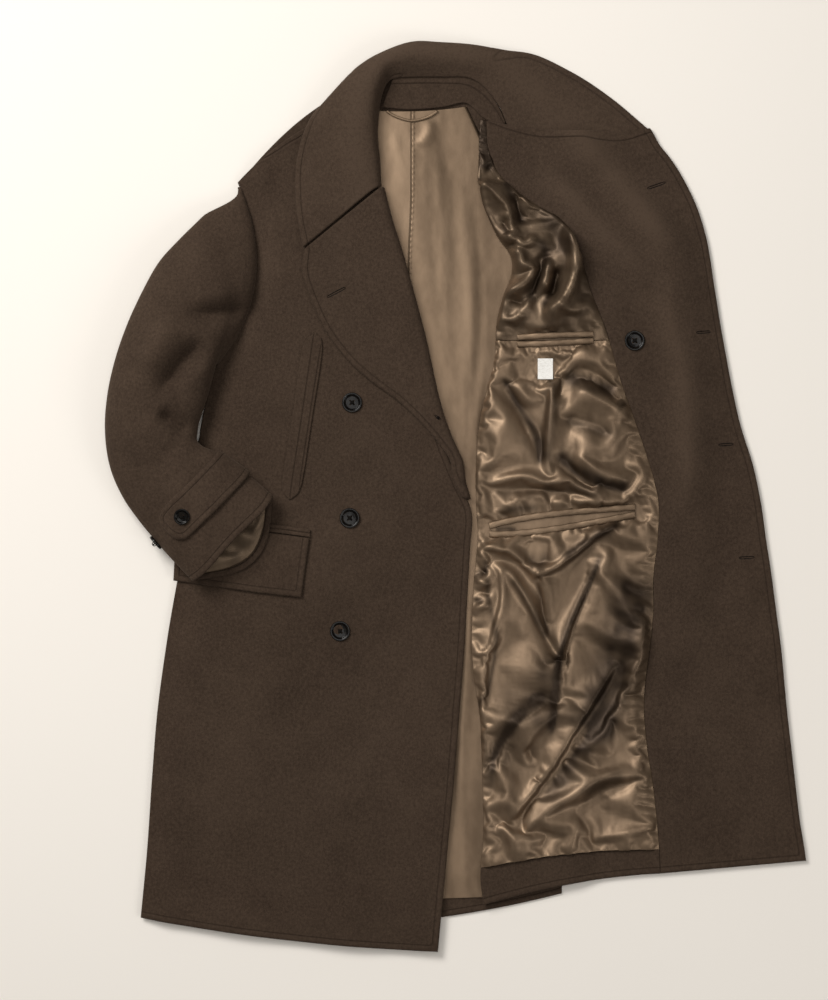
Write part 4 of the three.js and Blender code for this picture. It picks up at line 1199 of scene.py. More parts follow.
@dataclass
class RightFront:
    """Right front, folded over the back at its side, with its pockets and its buttons' ground."""

    melton: Melton = Melton()
    # crease height in mm that gives full painted shade or painted highlight
    painted_shading_ridge: float = 13.0
    step: float = 4.0
    flap: Rows = Rows(
        "mx my fx fy",
        (-350, -30, -354, -103),
        (-300, -35, -303, -110),
        (-245, -42, -249, -118),
        (-184, -50, -194, -124),
    )
    jet: Rows = Rows(
        "mx my fx fy",
        (-345, -18, -346, -28),
        (-264, -28, -265, -38),
        (-183, -39, -183, -49),
    )
    welt: Rows = Rows(
        "lx ly rx ry",
        (-179, 206, -176, 206),
        (-193, 186, -168, 187),
        (-205, 104, -180, 104),
        (-218, 18, -194, 17),
        (-210, -2, -207, -2),
    )
    pocket_lift: float = 1.2
    flap_thick: float = 3.5
    welt_thick: float = 2.0
    welt_seam: Line = ((-178, 206), (-181, 186), (-193, 104), (-206, 17), (-208, -2))
    welt_mouth: Line = ((-170, 187), (-183, 104), (-196, 17))
    shoulder: Line = ((-196, 450), (-212, 441), (-232, 428), (-262, 414))

    def build(self) -> None:
        """Make the front, the flap, the jet and the welt."""
        x, y, u, v = panel(STACK.front, self.step)
        hem_wave = 0.9 * np.sin(u * 19 + 1.2) * ramp(v, 0.93, 1)
        uneven = 0.5 * rumple(x, y, size=90, seed=11) * ramp(x - STACK.side_x(y), 0, 60)
        z = STACK.front_under(x, y) + uneven + hem_wave
        under = places(x, y, np.maximum(z, STACK.lining_under))
        # painted shading: the front's colour is lighter along its fold ridges and darker in its troughs
        nap = -creased(STACK.front_folds, x, y) / self.painted_shading_ridge
        seams = (("shoulder_seam", smooth_line(self.shoulder)),)
        cloth = Cloth("right_front", under, STACK.wool, (Side.RIGHT, Side.FOOT), seams=seams, painted_shading=nap)
        melton = self.melton.material("melton_front", True, ("shoulder_seam",), True)
        lay(cloth, Dress(melton, Slot.WOOL, ("front_right",)))
        self.build_hip_pocket()
        self.build_welt()

    def strip(self, rows: Rows, keys: tuple[str, str], step: float, lift: float) -> Array:
        """Under side of a piece that lies on the front, from one side of its table to the other.

        Args:
            rows: its table.
            keys: names of the first and the second side's columns, without x and y.
            step: distance of its grid lines in mm.
            lift: gap under it in mm.

        Returns:
            Grid of places.
        """
        ends = rows.at(np.linspace(0, 1, 30))
        first, second = keys
        gap = np.hypot(ends[first + "x"] - ends[second + "x"], ends[first + "y"] - ends[second + "y"])
        wide = float(np.mean(gap))
        long = float(np.sum(np.hypot(np.diff(ends[second + "x"]), np.diff(ends[second + "y"]))))
        u, v = np.meshgrid(stations(wide, step), stations(long, step))
        row = rows.at(v)
        x, y = mix(row[first + "x"], row[second + "x"], u), mix(row[first + "y"], row[second + "y"], u)
        base = STACK.front_top(np.maximum(x, STACK.side_x(y) + 6), y)
        return places(x, y, base + lift)

    def build_hip_pocket(self) -> None:
        """Make the jet over the pocket's mouth and the flap that hangs from it."""
        under = self.strip(self.flap, ("f", "m"), 3.0, self.pocket_lift)
        flap = Cloth("hip_flap", under, self.flap_thick, (Side.LEFT, Side.HEAD, Side.FOOT))
        dress = Dress(self.melton.material("melton_flap", True), Slot.WOOL, ("pocket_flap_right",))
        lay(flap, dress)
        jet = Cloth("hip_jet", self.strip(self.jet, ("f", "m"), 2.5, self.pocket_lift), STACK.wool)
        dress = Dress(self.melton.material("melton_jet"), Slot.WOOL, ("pocket_jet_right",))
        lay(jet, dress)

    def build_welt(self) -> None:
        """Make the hand-warmer welt with its stitched triangles."""
        columns = self.welt.columns
        turned = Rows(" ".join(columns), *zip(*(column[::-1] for column in columns.values())))
        under = self.strip(turned, ("r", "l"), 2.0, STACK.lay_gap)
        seams = {"welt_seam": smooth_line(self.welt_seam), "welt_mouth": smooth_line(self.welt_mouth)}
        cloth = Cloth("hand_welt", under, self.welt_thick, seams=tuple(seams.items()))
        melton = self.melton.material("melton_welt", False, tuple(seams))
        dress = Dress(melton, Slot.WOOL, ("hand_welt_right",))
        lay(cloth, dress)


@dataclass
class Collar:
    """Broad collar with its stand, and the right lapel turned out below its gorge."""

    melton: Melton = Melton()
    lapel: Rows = Rows(
        "ox oy rx ry turn",
        (-191, 310, -92, 390, 4.5),
        (-193, 281, -80, 345, 4.5),
        (-183, 249, -66, 301, 4.2),
        (-164, 208, -53, 254, 4),
        (-136, 171, -40, 205, 4),
        (-106, 144, -30, 160, 3.8),
        (-72, 119, -20, 116, 3.5),
        (-38, 86, -8, 78, 3),
        (-11, 51, 7, 42, 2.5),
        (-6, 28, 10, 19, 2),
        (5, 2, 17, -5, 1.5),
    )
    fall: Rows = Rows(
        "ax ay az bx by bz cx cy cz dx dy dz",
        (-98, 388, 8.5, -102, 386, 17, -147, 349, 15, -192, 312, 12),
        (-99, 418, 8.5, -106, 417, 19, -153, 390, 18, -200, 358, 12.5),
        (-102, 448, 8.5, -110, 450, 22, -157, 433, 20, -201, 408, 13.5),
        (-101, 474, 8.5, -111, 478, 25, -155, 472, 20, -192, 450, 13),
        (-98, 496, 8.5, -108, 504, 26, -145, 505, 18, -172, 482, 7),
        (-92, 514, 8.5, -100, 526, 26, -127, 529, 15, -128, 506, 5.5),
        (-81, 524, 8.5, -86, 544, 25, -99, 548, 13, -90, 524, 5),
        (-56, 526, 8.5, -57, 552, 23, -58, 564, 12, -57, 538, 5),
        (-21, 526, 8.5, -21, 551, 21, -21, 564, 11, -21, 538, 5),
        (12, 525, 8.5, 20, 546, 17, 28, 560, 9, 36, 543, 5),
        (33, 513, 8, 54, 533, 11, 76, 549, 5, 86, 555, 1),
        (52, 489, 7, 86, 508, 7, 116, 524, 2, 141, 533, 0),
        (62, 467, 6, 110, 480, 5, 152, 492, 1, 192, 500, 0),
        (69, 461.5, 5.6, 128, 456, 4, 188, 454, 0.5, 242, 458, 0),
    )
    stand: Rows = Rows(
        "nx ny fx fy fz",
        (-94, 488, -88, 504, 8),
        (-76, 486, -76, 522, 8),
        (-54, 485, -54, 524, 8),
        (-18, 488, -20, 524, 8),
        (11, 493, 10, 523, 8),
        (31, 476, 31, 511, 5.2),
        (47, 466, 50, 487, 4.6),
        (58, 463, 60, 468, 4.2),
    )
    band_line: Line = ((-96, 525), (-54, 526), (-20, 526), (11, 524), (33, 511), (50, 490), (62, 468))
    band_shift: Ends = (1.0, -9.0)
    wide: float = 110.0
    lapel_long: float = 430.0
    fall_long: float = 640.0
    band_wide: float = 36.0
    band_long: float = 190.0
    lying: float = 0.7
    roll_under: float = pi / 3
    roll_lift: float = 0.87
    stand_tuck: float = 1.2
    crest: float = 0.42
    crest_wide: float = 0.2

    def build(self) -> None:
        """Make the lapel, the collar and its stand."""
        self.build_lapel()
        self.build_fall()
        self.build_stand()

    def build_lapel(self) -> None:
        """Make the lapel: it lies on the front, swells to its roll and bends down round it."""
        lying_part = stations(self.wide, 4.0, (True, False)) * self.lying
        across = np.concatenate([lying_part, np.linspace(self.lying, 1, 22)[1:]])
        u, v = np.meshgrid(across, stations(self.lapel_long, 4.0))
        row = self.lapel.at(v)
        width = np.hypot(row["rx"] - row["ox"], row["ry"] - row["oy"])
        dir_x, dir_y = (row["rx"] - row["ox"]) / width, (row["ry"] - row["oy"]) / width
        turn = row["turn"]
        lying = width - turn - STACK.double_wool
        centre = STACK.lining_top + STACK.lay_gap + self.roll_lift * (turn + STACK.double_wool)
        share = np.minimum(u / self.lying, 1)
        angle = mix(pi / 2, -self.roll_under, np.clip((u - self.lying) / (1 - self.lying), 0, 1))
        flat = u <= self.lying
        reach = np.where(flat, lying * share, lying + turn * np.cos(angle))
        x, y = row["ox"] + dir_x * reach, row["oy"] + dir_y * reach
        low = STACK.front_top(x, y) + STACK.lay_gap
        swell = mix(low, np.maximum(centre + turn, low), ramp(share, 0, 1))
        z = np.where(flat, swell, centre + turn * np.sin(angle))
        cloth = Cloth("lapel", places(x, y, z), STACK.double_wool, (Side.LEFT,))
        dress = Dress(self.melton.material("melton_lapel", True), Slot.WOOL, ("lapel_right",))
        lay(cloth, dress)

    def build_fall(self) -> None:
        """Make the collar's fall from the right gorge round the neck to the left gorge."""
        u, v = np.meshgrid(stations(self.wide, 3.4), stations(self.fall_long, 4.2))
        row = self.fall.at(v)
        under = centripetal([places(row[k + "x"], row[k + "y"], row[k + "z"]) for k in "abcd"], u[..., None])
        # painted highlight: the collar's colour is lighter all over and most along the crest of its roll
        crest = -0.25 - 0.6 * np.exp(-(((u - self.crest) / self.crest_wide) ** 2))
        cloth = Cloth("collar_fall", under, STACK.double_wool, (Side.RIGHT,), painted_shading=crest)
        dress = Dress(self.melton.material("melton_collar", True, with_painted_shading=True), Slot.WOOL, ("collar",))
        lay(cloth, dress)

    def build_stand(self) -> None:
        """Make the neck band between the back lining and the fall."""
        u, v = np.meshgrid(stations(self.band_wide, 2.4), stations(self.band_long, 3.0))
        row = self.stand.at(v)
        z = mix(STACK.lining_top + STACK.lay_gap, row["fz"], u)
        far = u * self.stand_tuck
        x, y = mix(row["nx"], row["fx"], far), mix(row["ny"], row["fy"], far)
        stitch = smooth_line(self.band_line) + np.array(self.band_shift)
        cloth = Cloth("neck_band", places(x, y, z), STACK.wool, seams=(("band_stitch", stitch),))
        melton = self.melton.material("melton_band", False, ("band_stitch",))
        dress = Dress(melton, Slot.WOOL, ("collar_stand",))
        lay(cloth, dress)


def centripetal(points: list[Array], share: Array) -> Array:
    """Smooth curve through four points, as the solids' sections have.

    Args:
        points: the four points, each an array of places.
        share: share of the way from the first to the last.

    Returns:
        Places on the curve.
    """
    before, after = 2 * points[0] - points[1], 2 * points[3] - points[2]
    chain = [before, *points, after]
    place = np.clip(share, 0, 1) * 3
    found = np.zeros(points[0].shape)
    for k in range(3):
        p0, p1, p2, p3 = chain[k:k + 4]
        gaps = [np.maximum(np.linalg.norm(b - a, axis=-1, keepdims=True) ** 0.5, 1e-4)
                for a, b in ((p0, p1), (p1, p2), (p2, p3))]
        first, middle, last = gaps
        near = ((p1 - p0) / first - (p2 - p0) / (first + middle) + (p2 - p1) / middle) * middle
        far = ((p2 - p1) / middle - (p3 - p1) / (middle + last) + (p3 - p2) / last) * middle
        t = place - k
        here = (t >= 0) & ((t < 1) | (k == 2))
        curve = ((2 * t**3 - 3 * t**2 + 1) * p1 + (t**3 - 2 * t**2 + t) * near
                 + (3 * t**2 - 2 * t**3) * p2 + (t**3 - t**2) * far)
        found = np.where(here, curve, found)
    return found


@dataclass
class OpenedFront:
    """Left front opened out with its outer side down: outer cloth, facing, linings and hem band."""

    melton: Melton = Melton()
    satin: Satin = Satin()
    # darker copy of the lining satin: painted shade where the sleeve's lining sinks into its armhole
    armhole_shaded_satin: Satin = Satin(dark=(0.085, 0.056, 0.034, 1), light=(0.2, 0.14, 0.09, 1))
    rows: Rows = Rows(
        "bx by sx sy ex ey sag_lining sag_facing",
        (29, 465, 36, 464, 241, 455, 0, 8),
        (28, 435, 39, 435, 268, 422, 0, 5),
        (28, 402, 55, 400, 285, 394, 0, 2),
        (34, 366, 91, 370, 300, 362, 0, 0),
        (50, 328, 130, 345, 311, 326, 0, 0),
        (67, 302, 151, 312, 316, 300, 0, 0),
        (68, 278, 160, 279, 320, 272, 0, 0),
        (57, 248, 171, 246, 325, 241, 0, 0),
        (49, 212, 185, 211, 330, 210, 0, 0),
        (47, 172, 196, 173, 337, 172, 0, 0),
        (36, 129, 209, 131, 345, 130, 0, 0),
        (27, 85, 225, 87, 355, 87, 0, 0),
        (24, 41, 240, 41, 369, 43, 0, 0),
        (24, -5, 251, -4, 379, -3, 0, 0),
        (26, -50, 250, -52, 386, -52, 0, 0),
        (22, -96, 245, -98, 393, -98, 0, 0),
        (19, -142, 245, -142, 399, -144, 0, 0),
        (18, -186, 240, -187, 405, -189, 0, 0),
        (22, -229, 235, -230, 409, -232, 0, 0),
        (29, -273, 234, -271, 413, -273, 0, 0),
        (31, -318, 238, -314, 418, -316, 0, 0),
        (32, -365, 245, -360, 423, -360, -1, 0),
        (33, -415, 250, -406, 428, -402, -4, 0),
        (29, -472, 253, -446, 433, -432, -7, 0),
        (33, -508, 254, -469, 436, -453, -7, 0),
    )
    rows_total: int = 40
    long: float = 1000.0
    gorge_tuck: float = 7.0
    # crease height in mm that gives full painted shade or painted highlight on the facing
    painted_shading_ridge: float = 9.0
    armhole_settling: Settling = Settling(step=2.8, spare=0.05)
    lining_settling: Settling = Settling()
    gorge_seam: Line = (
        (36, 470), (65, 459), (104, 450), (154, 450), (175, 446), (208, 446), (241, 456),
    )
    sleeve_end: int = 14
    hem_start: int = 38
    outer_step: float = 7.0
    wool_step: float = 4.0
    armhole_step: float = 1.9
    lining_step: float = 2.1
    armhole_lift: float = 9.0
    pucker_long: float = 11.5
    lining_lift: float = 4.5
    facing_folds: tuple[Crease, ...] = (
        Crease(((104, 518), (154, 459), (190, 411), (232, 365), (261, 318), (282, 280)),
               9, 18, 24, 1.7, 0.12, 0.25),
        Crease(((96, 422), (146, 372), (208, 305), (250, 262)), 7.5, 15, 20, 1.7, 0.25),
        Crease(((261, 308), (265, 230), (279, 176), (286, 122), (288, 58), (286, 5), (264, -46)),
               7, 15, 20, 1.7, 0.25),
        Crease(((70, 446), (110, 430), (150, 424), (196, 430)), 1.8, 16),
        Crease(((300, -120), (320, -230), (340, -340)), 1.6, 34),
        Crease(((270, -300), (300, -380), (330, -440)), -1.4, 24),
        Crease(((380, -240), (388, -330), (400, -420)), 1.8, 20),
    )
    lining_folds: tuple[Crease, ...] = (
        Crease(((52, 160), (84, 100), (103, 66), (110, 30)), -9, 9, 13, 1.5),
        Crease(((70, 146), (82, 132), (96, 112)), 4, 9),
        Crease(((40, 140), (58, 90), (72, 40)), 5, 22),
        Crease(((122, 162), (118, 100), (114, 60), (111, 34)), 6.5, 9, 8, 1.6),
        Crease(((134, 158), (130, 130), (128, 118)), -6, 5),
        Crease(((136, 158), (168, 148), (204, 126), (214, 118)), -8.5, 11, 10, 1.6, 0.2),
        Crease(((134, 128), (160, 128), (190, 112), (216, 96)), 7.5, 10, 14, 1.6, 0.25),
        Crease(((130, 100), (160, 92), (196, 76)), -6.5, 9, 12, 1.5, 0.25),
        Crease(((140, 84), (170, 66), (214, 62)), 4, 14),
        Crease(((122, 62), (140, 38), (162, 22), (196, 12), (224, 9)), -9.5, 8, 11, 1.6, 0.2),
        Crease(((142, 60), (156, 50), (180, 34), (220, 18)), 7, 8, 12, 1.5, 0.2),
        Crease(((36, 16), (70, 26), (92, 29), (112, 21), (134, 25), (162, 13), (196, 6)),
               6, 6, 8, 1.5, 0.15),
        Crease(((38, 4), (88, 9), (144, 4), (190, 1)), -4.5, 7),
        Crease(((46, -17), (62, -10), (82, -3), (104, 0), (120, -8), (150, -2), (186, -6), (226, -6)),
               4.5, 5, 7, 1.5, 0.12),
        Crease(((112, 2), (117, -10), (121, -18)), -3.5, 4),
        Crease(((136, 4), (143, -8), (150, -14)), -3.5, 4),
        Crease(((160, -2), (164, -10), (166, -16)), -3, 4),
        Crease(((176, -4), (180, -10), (182, -14)), -3, 4),
        Crease(((30, -60), (52, -64), (70, -70), (102, -98)), 7.5, 7, 5, 1.4, 0.15, 0.02),
        Crease(((206, -28), (180, -44), (148, -68), (102, -98)), 7.5, 5, 8, 1.4, 0.2, 0.02),
        Crease(((100, -48), (101, -66), (101, -84)), -7.5, 16, 16, 1.8, 0.3, 0.1),
        Crease(((52, -84), (70, -104), (88, -130), (116, -182), (125, -198)), 8, 7, 6, 1.5, 0.2, 0.02),
        Crease(((180, -76), (160, -118), (138, -166), (125, -198)), 8, 6, 7, 1.5, 0.2, 0.02),
        Crease(((101, -104), (107, -140), (115, -182)), -7, 5, 6, 1.4),
        Crease(((184, -70), (166, -112), (147, -156), (134, -198), (124, -250), (118, -314)),
               -7.5, 6, 9, 1.5, 0.15, 0.3),
        Crease(((192, -62), (186, -84), (176, -112)), 5, 7),
        Crease(((60, -110), (74, -150), (86, -200), (80, -250)), 5, 24),
        Crease(((212, -90), (196, -150), (184, -206)), 4, 17),
        Crease(((200, -196), (180, -228), (151, -272), (126, -320), (92, -367), (58, -408)),
               10, 5, 20, 1.4, 0.2, 0.12),
        Crease(((232, -120), (226, -190), (206, -256), (176, -300), (146, -328)),
               9, 26, 11, 1.6, 0.25, 0.2),
        Crease(((126, -232), (108, -249), (86, -268), (70, -281), (50, -312), (42, -352), (40, -388)),
               -9, 7, 10, 1.5, 0.15),
        Crease(((144, -252), (118, -268), (92, -292), (76, -330)), 5, 10),
        Crease(((84, -306), (92, -316), (96, -330)), -4.5, 6),
        Crease(((70, -336), (62, -366), (56, -392)), 5, 10),
        Crease(((222, -330), (194, -344), (165, -358), (106, -396), (76, -424), (62, -438)),
               8, 9, 13, 1.5, 0.2, 0.15),
        Crease(((238, -346), (206, -362), (170, -382), (132, -404)), -7, 9, 12, 1.6),
        Crease(((250, -410), (214, -418), (166, -426)), 6, 5, 10, 1.4, 0.1),
        Crease(((155, -392), (146, -420), (134, -450)), 5, 7),
        Crease(((120, -410), (112, -428), (100, -446)), -4, 8),
        Crease(((56, -404), (70, -428), (66, -452)), 5.5, 7),
        Crease(((92, -372), (84, -398), (86, -424)), -4.5, 8),
        Crease(((46, -80), (53, -96), (56, -120), (53, -140), (42, -180), (34, -200), (32, -252), (33, -340)),
               6, 7, 3.2, 1.4, 0.08),
        Crease(((24, -60), (34, -74), (40, -84)), 5, 3.5),
        Crease(((22, -78), (32, -92), (42, -98)), -5, 4),
        Crease(((18, -92), (28, -104), (44, -110)), 5.5, 4),
        Crease(((18, -112), (30, -118), (44, -122)), -5, 4),
        Crease(((16, -142), (28, -136), (42, -132)), 5, 5),
        Crease(((16, -150), (24, -172), (30, -196)), -4, 5),
        Crease(((20, -196), (24, -230), (22, -268)), 3, 7),
        Crease(((20, -288), (26, -300), (34, -304)), 4.5, 5),
        Crease(((52, 100), (50, 60), (42, 24)), 3, 9),
        Crease(((225, 84), (214, 92), (200, 96)), -3, 4),
        Crease(((238, 46), (226, 52), (214, 50)), -3, 4),
        Crease(((246, 8), (234, 12), (222, 8)), -3, 4),
    )
    armhole_folds: tuple[Crease, ...] = (
        Crease(((28, 396), (48, 378), (62, 362), (66, 344), (67, 314)), 15, 9, 10, 1.5, 0.12, 0.1),
        Crease(((57, 350), (64, 336), (67, 326)), -9, 5),
        Crease(((74, 384), (76, 360), (82, 334)), -9, 7),
        Crease(((67, 320), (84, 316), (98, 327)), 11, 6),
        Crease(((67, 312), (76, 304), (80, 292), (92, 284), (84, 268), (62, 254), (52, 240), (46, 210)),
               15, 7, 9, 1.5, 0.08),
        Crease(((107, 316), (98, 280), (90, 232)), -12, 9),
        Crease(((122, 290), (118, 264), (114, 244)), -11, 6),
        Crease(((111, 300), (109, 276), (107, 252)), 12, 5),
        Crease(((106, 286), (102, 262), (76, 224)), 9, 4, 7),
        Crease(((130, 342), (140, 312), (143, 290), (140, 266), (128, 244), (104, 222)),
               17, 9, 8, 1.5, 0.15),
        Crease(((84, 370), (110, 340), (126, 300)), -8, 17),
        Crease(((60, 250), (74, 244), (88, 240)), -6, 5),
        Crease(((56, 224), (70, 222), (84, 232)), 8, 5),
        Crease(((150, 290), (156, 262), (166, 236)), -6, 9),
        Crease(((160, 276), (170, 250), (178, 226)), 7, 6),
        Crease(((36, 420), (46, 404), (58, 390)), -7, 8),
        Crease(((120, 246), (140, 236), (160, 234)), 5, 7),
    )
    # painted shade in the front lining's folds, as creases of darkness from 0 to 1 on its colour
    lining_painted_shades: tuple[Crease, ...] = (
        Crease(((54, 158), (72, 122), (97, 79), (105, 35)), 0.9, 7, 5, 2, 0.15, 0.1),
        Crease(((124, 152), (116, 110), (111, 72), (109, 38)), 0.55, 9, 9, 3, 0.15),
        Crease(((130, 152), (166, 141), (204, 130)), 0.85, 11, 11, 3, 0.1, 0.15),
        Crease(((200, 122), (208, 112)), 0.8, 7, 7, 2, 0.2),
        Crease(((128, 99), (166, 87), (204, 74)), 0.65, 8, 8, 2, 0.15, 0.2),
        Crease(((120, 60), (147, 35), (179, 20), (218, 11)), 0.98, 9, 8, 3, 0.12, 0.12),
        Crease(((38, 6), (91, 7), (141, 12), (185, 4)), 0.45, 7, 7, 2, 0.1),
        Crease(((50, -22), (70, -13), (104, -12)), 0.7, 5, 5, 2, 0.15),
        Crease(((128, -78), (166, -52), (208, -28)), 0.9, 6, 6, 2, 0.15),
        Crease(((46, -40), (62, -38), (76, -41)), 0.95, 3.5, 3.5, 2, 0.15),
        Crease(((84, -62), (101, -86), (118, -62)), 0.6, 8, 6, 2, 0.3),
        Crease(((183, -66), (160, -119), (145, -148), (131, -184), (126, -218), (122, -256), (116, -304)),
               0.9, 3.5, 6, 2.0, 0.06, 0.1),
        Crease(((66, -98), (86, -128), (113, -180)), 0.6, 3.5, 3.5, 2, 0.1),
        Crease(((101, -99), (107, -136), (114, -173)), 0.55, 3, 5, 2, 0.1),
        Crease(((228, -84), (222, -122), (203, -199), (184, -256), (160, -306)), 0.9, 28, 34, 3, 0.12, 0.1),
        Crease(((190, -262), (156, -308), (124, -352), (96, -392)), 0.9, 17, 5, 2.4, 0.1, 0.3),
        Crease(((116, -240), (86, -262), (61, -295), (46, -324), (41, -372)), 0.85, 6, 9, 2, 0.15, 0.2),
        Crease(((106, -186), (110, -230), (104, -300)), 0.6, 24, 18, 2.4, 0.2),
        Crease(((70, -220), (66, -290), (62, -350)), 0.4, 26, 20, 2.4, 0.2),
        Crease(((24, -90), (34, -100)), 0.8, 7, 7, 2, 0.3),
        Crease(((20, -124), (34, -132)), 0.8, 5, 5, 2, 0.3),
        Crease(((22, -290), (26, -312)), 0.9, 9, 9, 2, 0.3),
        Crease(((35, -72), (40, -128), (49, -173), (39, -238), (27, -266), (27, -364)),
               0.65, 2.5, 4, 2, 0.04),
        Crease(((212, -346), (184, -354), (150, -372)), 0.6, 8, 10, 2.4, 0.2),
    )
    # painted shade in the armhole's folds and a painted shadow in the dark strip at its top
    armhole_painted_shades: tuple[Crease, ...] = (
        Crease(((34, 480), (34, 450), (37, 420), (36, 402)), 0.97, 14, 14, 4, 0.01, 0.15),
        Crease(((26, 402), (33, 356), (54, 308)), 0.7, 3.5, 3.5, 2, 0.05, 0.1),
        Crease(((58, 396), (74, 362), (84, 334)), 0.85, 7, 8, 2, 0.1, 0.2),
        Crease(((98, 326), (110, 303), (101, 272), (88, 238)), 0.9, 7, 7, 2, 0.12, 0.15),
        Crease(((124, 290), (116, 257), (106, 234)), 0.9, 4.5, 4.5, 2, 0.15),
        Crease(((96, 366), (130, 330), (132, 296)), 0.72, 13, 13, 3, 0.15, 0.15),
        Crease(((56, 346), (64, 321)), 0.8, 4, 4, 2, 0.3),
        Crease(((148, 300), (160, 262), (170, 226)), 0.4, 9, 9, 2, 0.2),
        Crease(((66, 312), (60, 262), (48, 222)), 0.45, 4, 4, 2, 0.2),
    )

    def place(self, u: Array, v: Array) -> tuple[Array, Array]:
        """Place on the opened front.

        Args:
            u: share across, 0 to 1 over the lining and 1 to 2 over the facing.
            v: share down.

        Returns:
            Places across and up in mm.
        """
        row = self.rows.at(v)
        w = np.where(u <= 1, u, u - 1)
        sag = np.where(u <= 1, row["sag_lining"], row["sag_facing"]) * 4 * w * (1 - w)
        x = np.where(u <= 1, mix(row["bx"], row["sx"], w), mix(row["sx"], row["ex"], w))
        y = np.where(u <= 1, mix(row["by"], row["sy"], w), mix(row["sy"], row["ey"], w))
        return x, y - sag

    def spread(self, span: Ends, reach: tuple[int, int]) -> tuple[float, float, Ends, Ends]:
        """Size of a layer of the opened front.

        Args:
            span: its first and last u.
            reach: its first and last station.

        Returns:
            Its width and length in mm, then its ends in u and in v, each half a gap short of its seams.
        """
        low, high = reach[0] / self.rows_total, reach[1] / self.rows_total
        ends = [np.stack(self.place(np.full(40, edge), np.linspace(low, high, 40))) for edge in span]
        wide = float(np.mean(np.linalg.norm(ends[0] - ends[1], axis=0)))
        long = float(np.sum(np.linalg.norm(np.diff(ends[1], axis=1), axis=0)))
        half = STACK.seam_gap / 2
        u_ends = (span[0] + half / wide, span[1] - half / wide)
        return wide, long, u_ends, (low + half / self.long, high - half / self.long)

    def tucked(self, u: Array, v: Array) -> tuple[Array, Array]:
        """Place on the opened front with its head tucked under the collar."""
        x, y = self.place(u, v)
        return x, y + self.gorge_tuck * (1 - ramp(v, 0, 0.02))

    def layer(self, span: Ends, reach: tuple[int, int], step: float, lift: float, relief: Relief) -> Array:
        """Under side of a layer on the opened front.

        Args:
            span: its first and last u.
            reach: its first and last station.
            step: distance of its grid lines in mm.
            lift: height over the opened front's own under side.
            relief: height of its creases from x, y, u and v.

        Returns:
            Grid of places, set back half a seam gap from the seams that it shares.
        """
        wide, long, u_ends, v_ends = self.spread(span, reach)
        u, v = np.meshgrid(mix(*u_ends, stations(wide, step)), mix(*v_ends, stations(long, step)))
        x, y = self.tucked(u, v)
        return places(x, y, STACK.open_under(x, y) + lift + relief(x, y, u, v))

    def settled(
        self, reach: tuple[int, int], step: float, lift: float, settling: Settling, relief: Relief
    ) -> Array:
        """Under side of a lining after it has fallen into its folds.

        Args:
            reach: its first and last station.
            step: distance of its grid lines in mm.
            lift: height over the opened front's own under side.
            settling: its cloth simulation.
            relief: height of its creases before it falls, from x, y, u and v.

        Returns:
            Grid of places.
        """
        wide, long, u_ends, v_ends = self.spread((0.0, 1.0), reach)
        columns, rows = int(wide / settling.step) + 1, int(long / settling.step) + 1
        u, v = np.meshgrid(np.linspace(*u_ends, columns), np.linspace(*v_ends, rows))
        x, y = self.tucked(u, v)
        base = STACK.open_under(x, y) + lift
        held = np.ones(x.shape, bool)
        held[1:-1, 1:-1] = False
        held |= pocket_clear(x, y) < 0.02
        bed = places(x, y, base - settling.clearance)
        fallen = settling.fall(places(x, y, base + relief(x, y, u, v)), held, bed)
        LOG.info("settled: highest %.1f mm", float(np.max(fallen[..., 2] - base)))
        down, across = cubic_weights(rows, stations(long, step)), cubic_weights(columns, stations(wide, step))
        return np.einsum("ri,ijk,cj->rck", down, fallen, across)

    def build(self) -> None:
        """Make the opened front's pieces, from the floor up."""
        lift = STACK.wool + STACK.seam_gap
        outer = self.layer((0.0, 2.0), (0, self.rows_total), self.outer_step, 0.0, self.level)
        dress = Dress(self.melton.material("melton_left", True), Slot.WOOL, ("front_left",))
        lay(Cloth("left_front", outer, STACK.wool, (Side.RIGHT, Side.FOOT)), dress)
        self.build_facing(lift)
        self.build_linings(lift)
        reach = (self.hem_start, self.rows_total)
        hem = self.layer((0.0, 1.0), reach, self.wool_step, lift, self.level)
        dress = Dress(self.melton.material("melton_hem", True), Slot.WOOL, ("hem_band_left",))
        lay(Cloth("left_hem", hem, STACK.wool, (Side.FOOT,)), dress)

    def build_facing(self, lift: float) -> None:
        """Make the wool facing.

        Args:
            lift: its height over the opened front's under side in mm.
        """
        under = self.layer((1.0, 2.0), (0, self.rows_total), self.wool_step, lift, self.facing_relief)
        seams = (("gorge", smooth_line(self.gorge_seam)),)
        # painted shading: the facing's colour is lighter along its ridges and darker in its troughs
        nap = -creased(self.facing_folds, under[..., 0], under[..., 1]) / self.painted_shading_ridge
        cloth = Cloth("left_facing", under, STACK.wool, (Side.RIGHT, Side.FOOT), seams=seams, painted_shading=nap)
        melton = self.melton.material("melton_facing", True, ("gorge",), True)
        lay(cloth, Dress(melton, Slot.WOOL, ("facing_left",)))

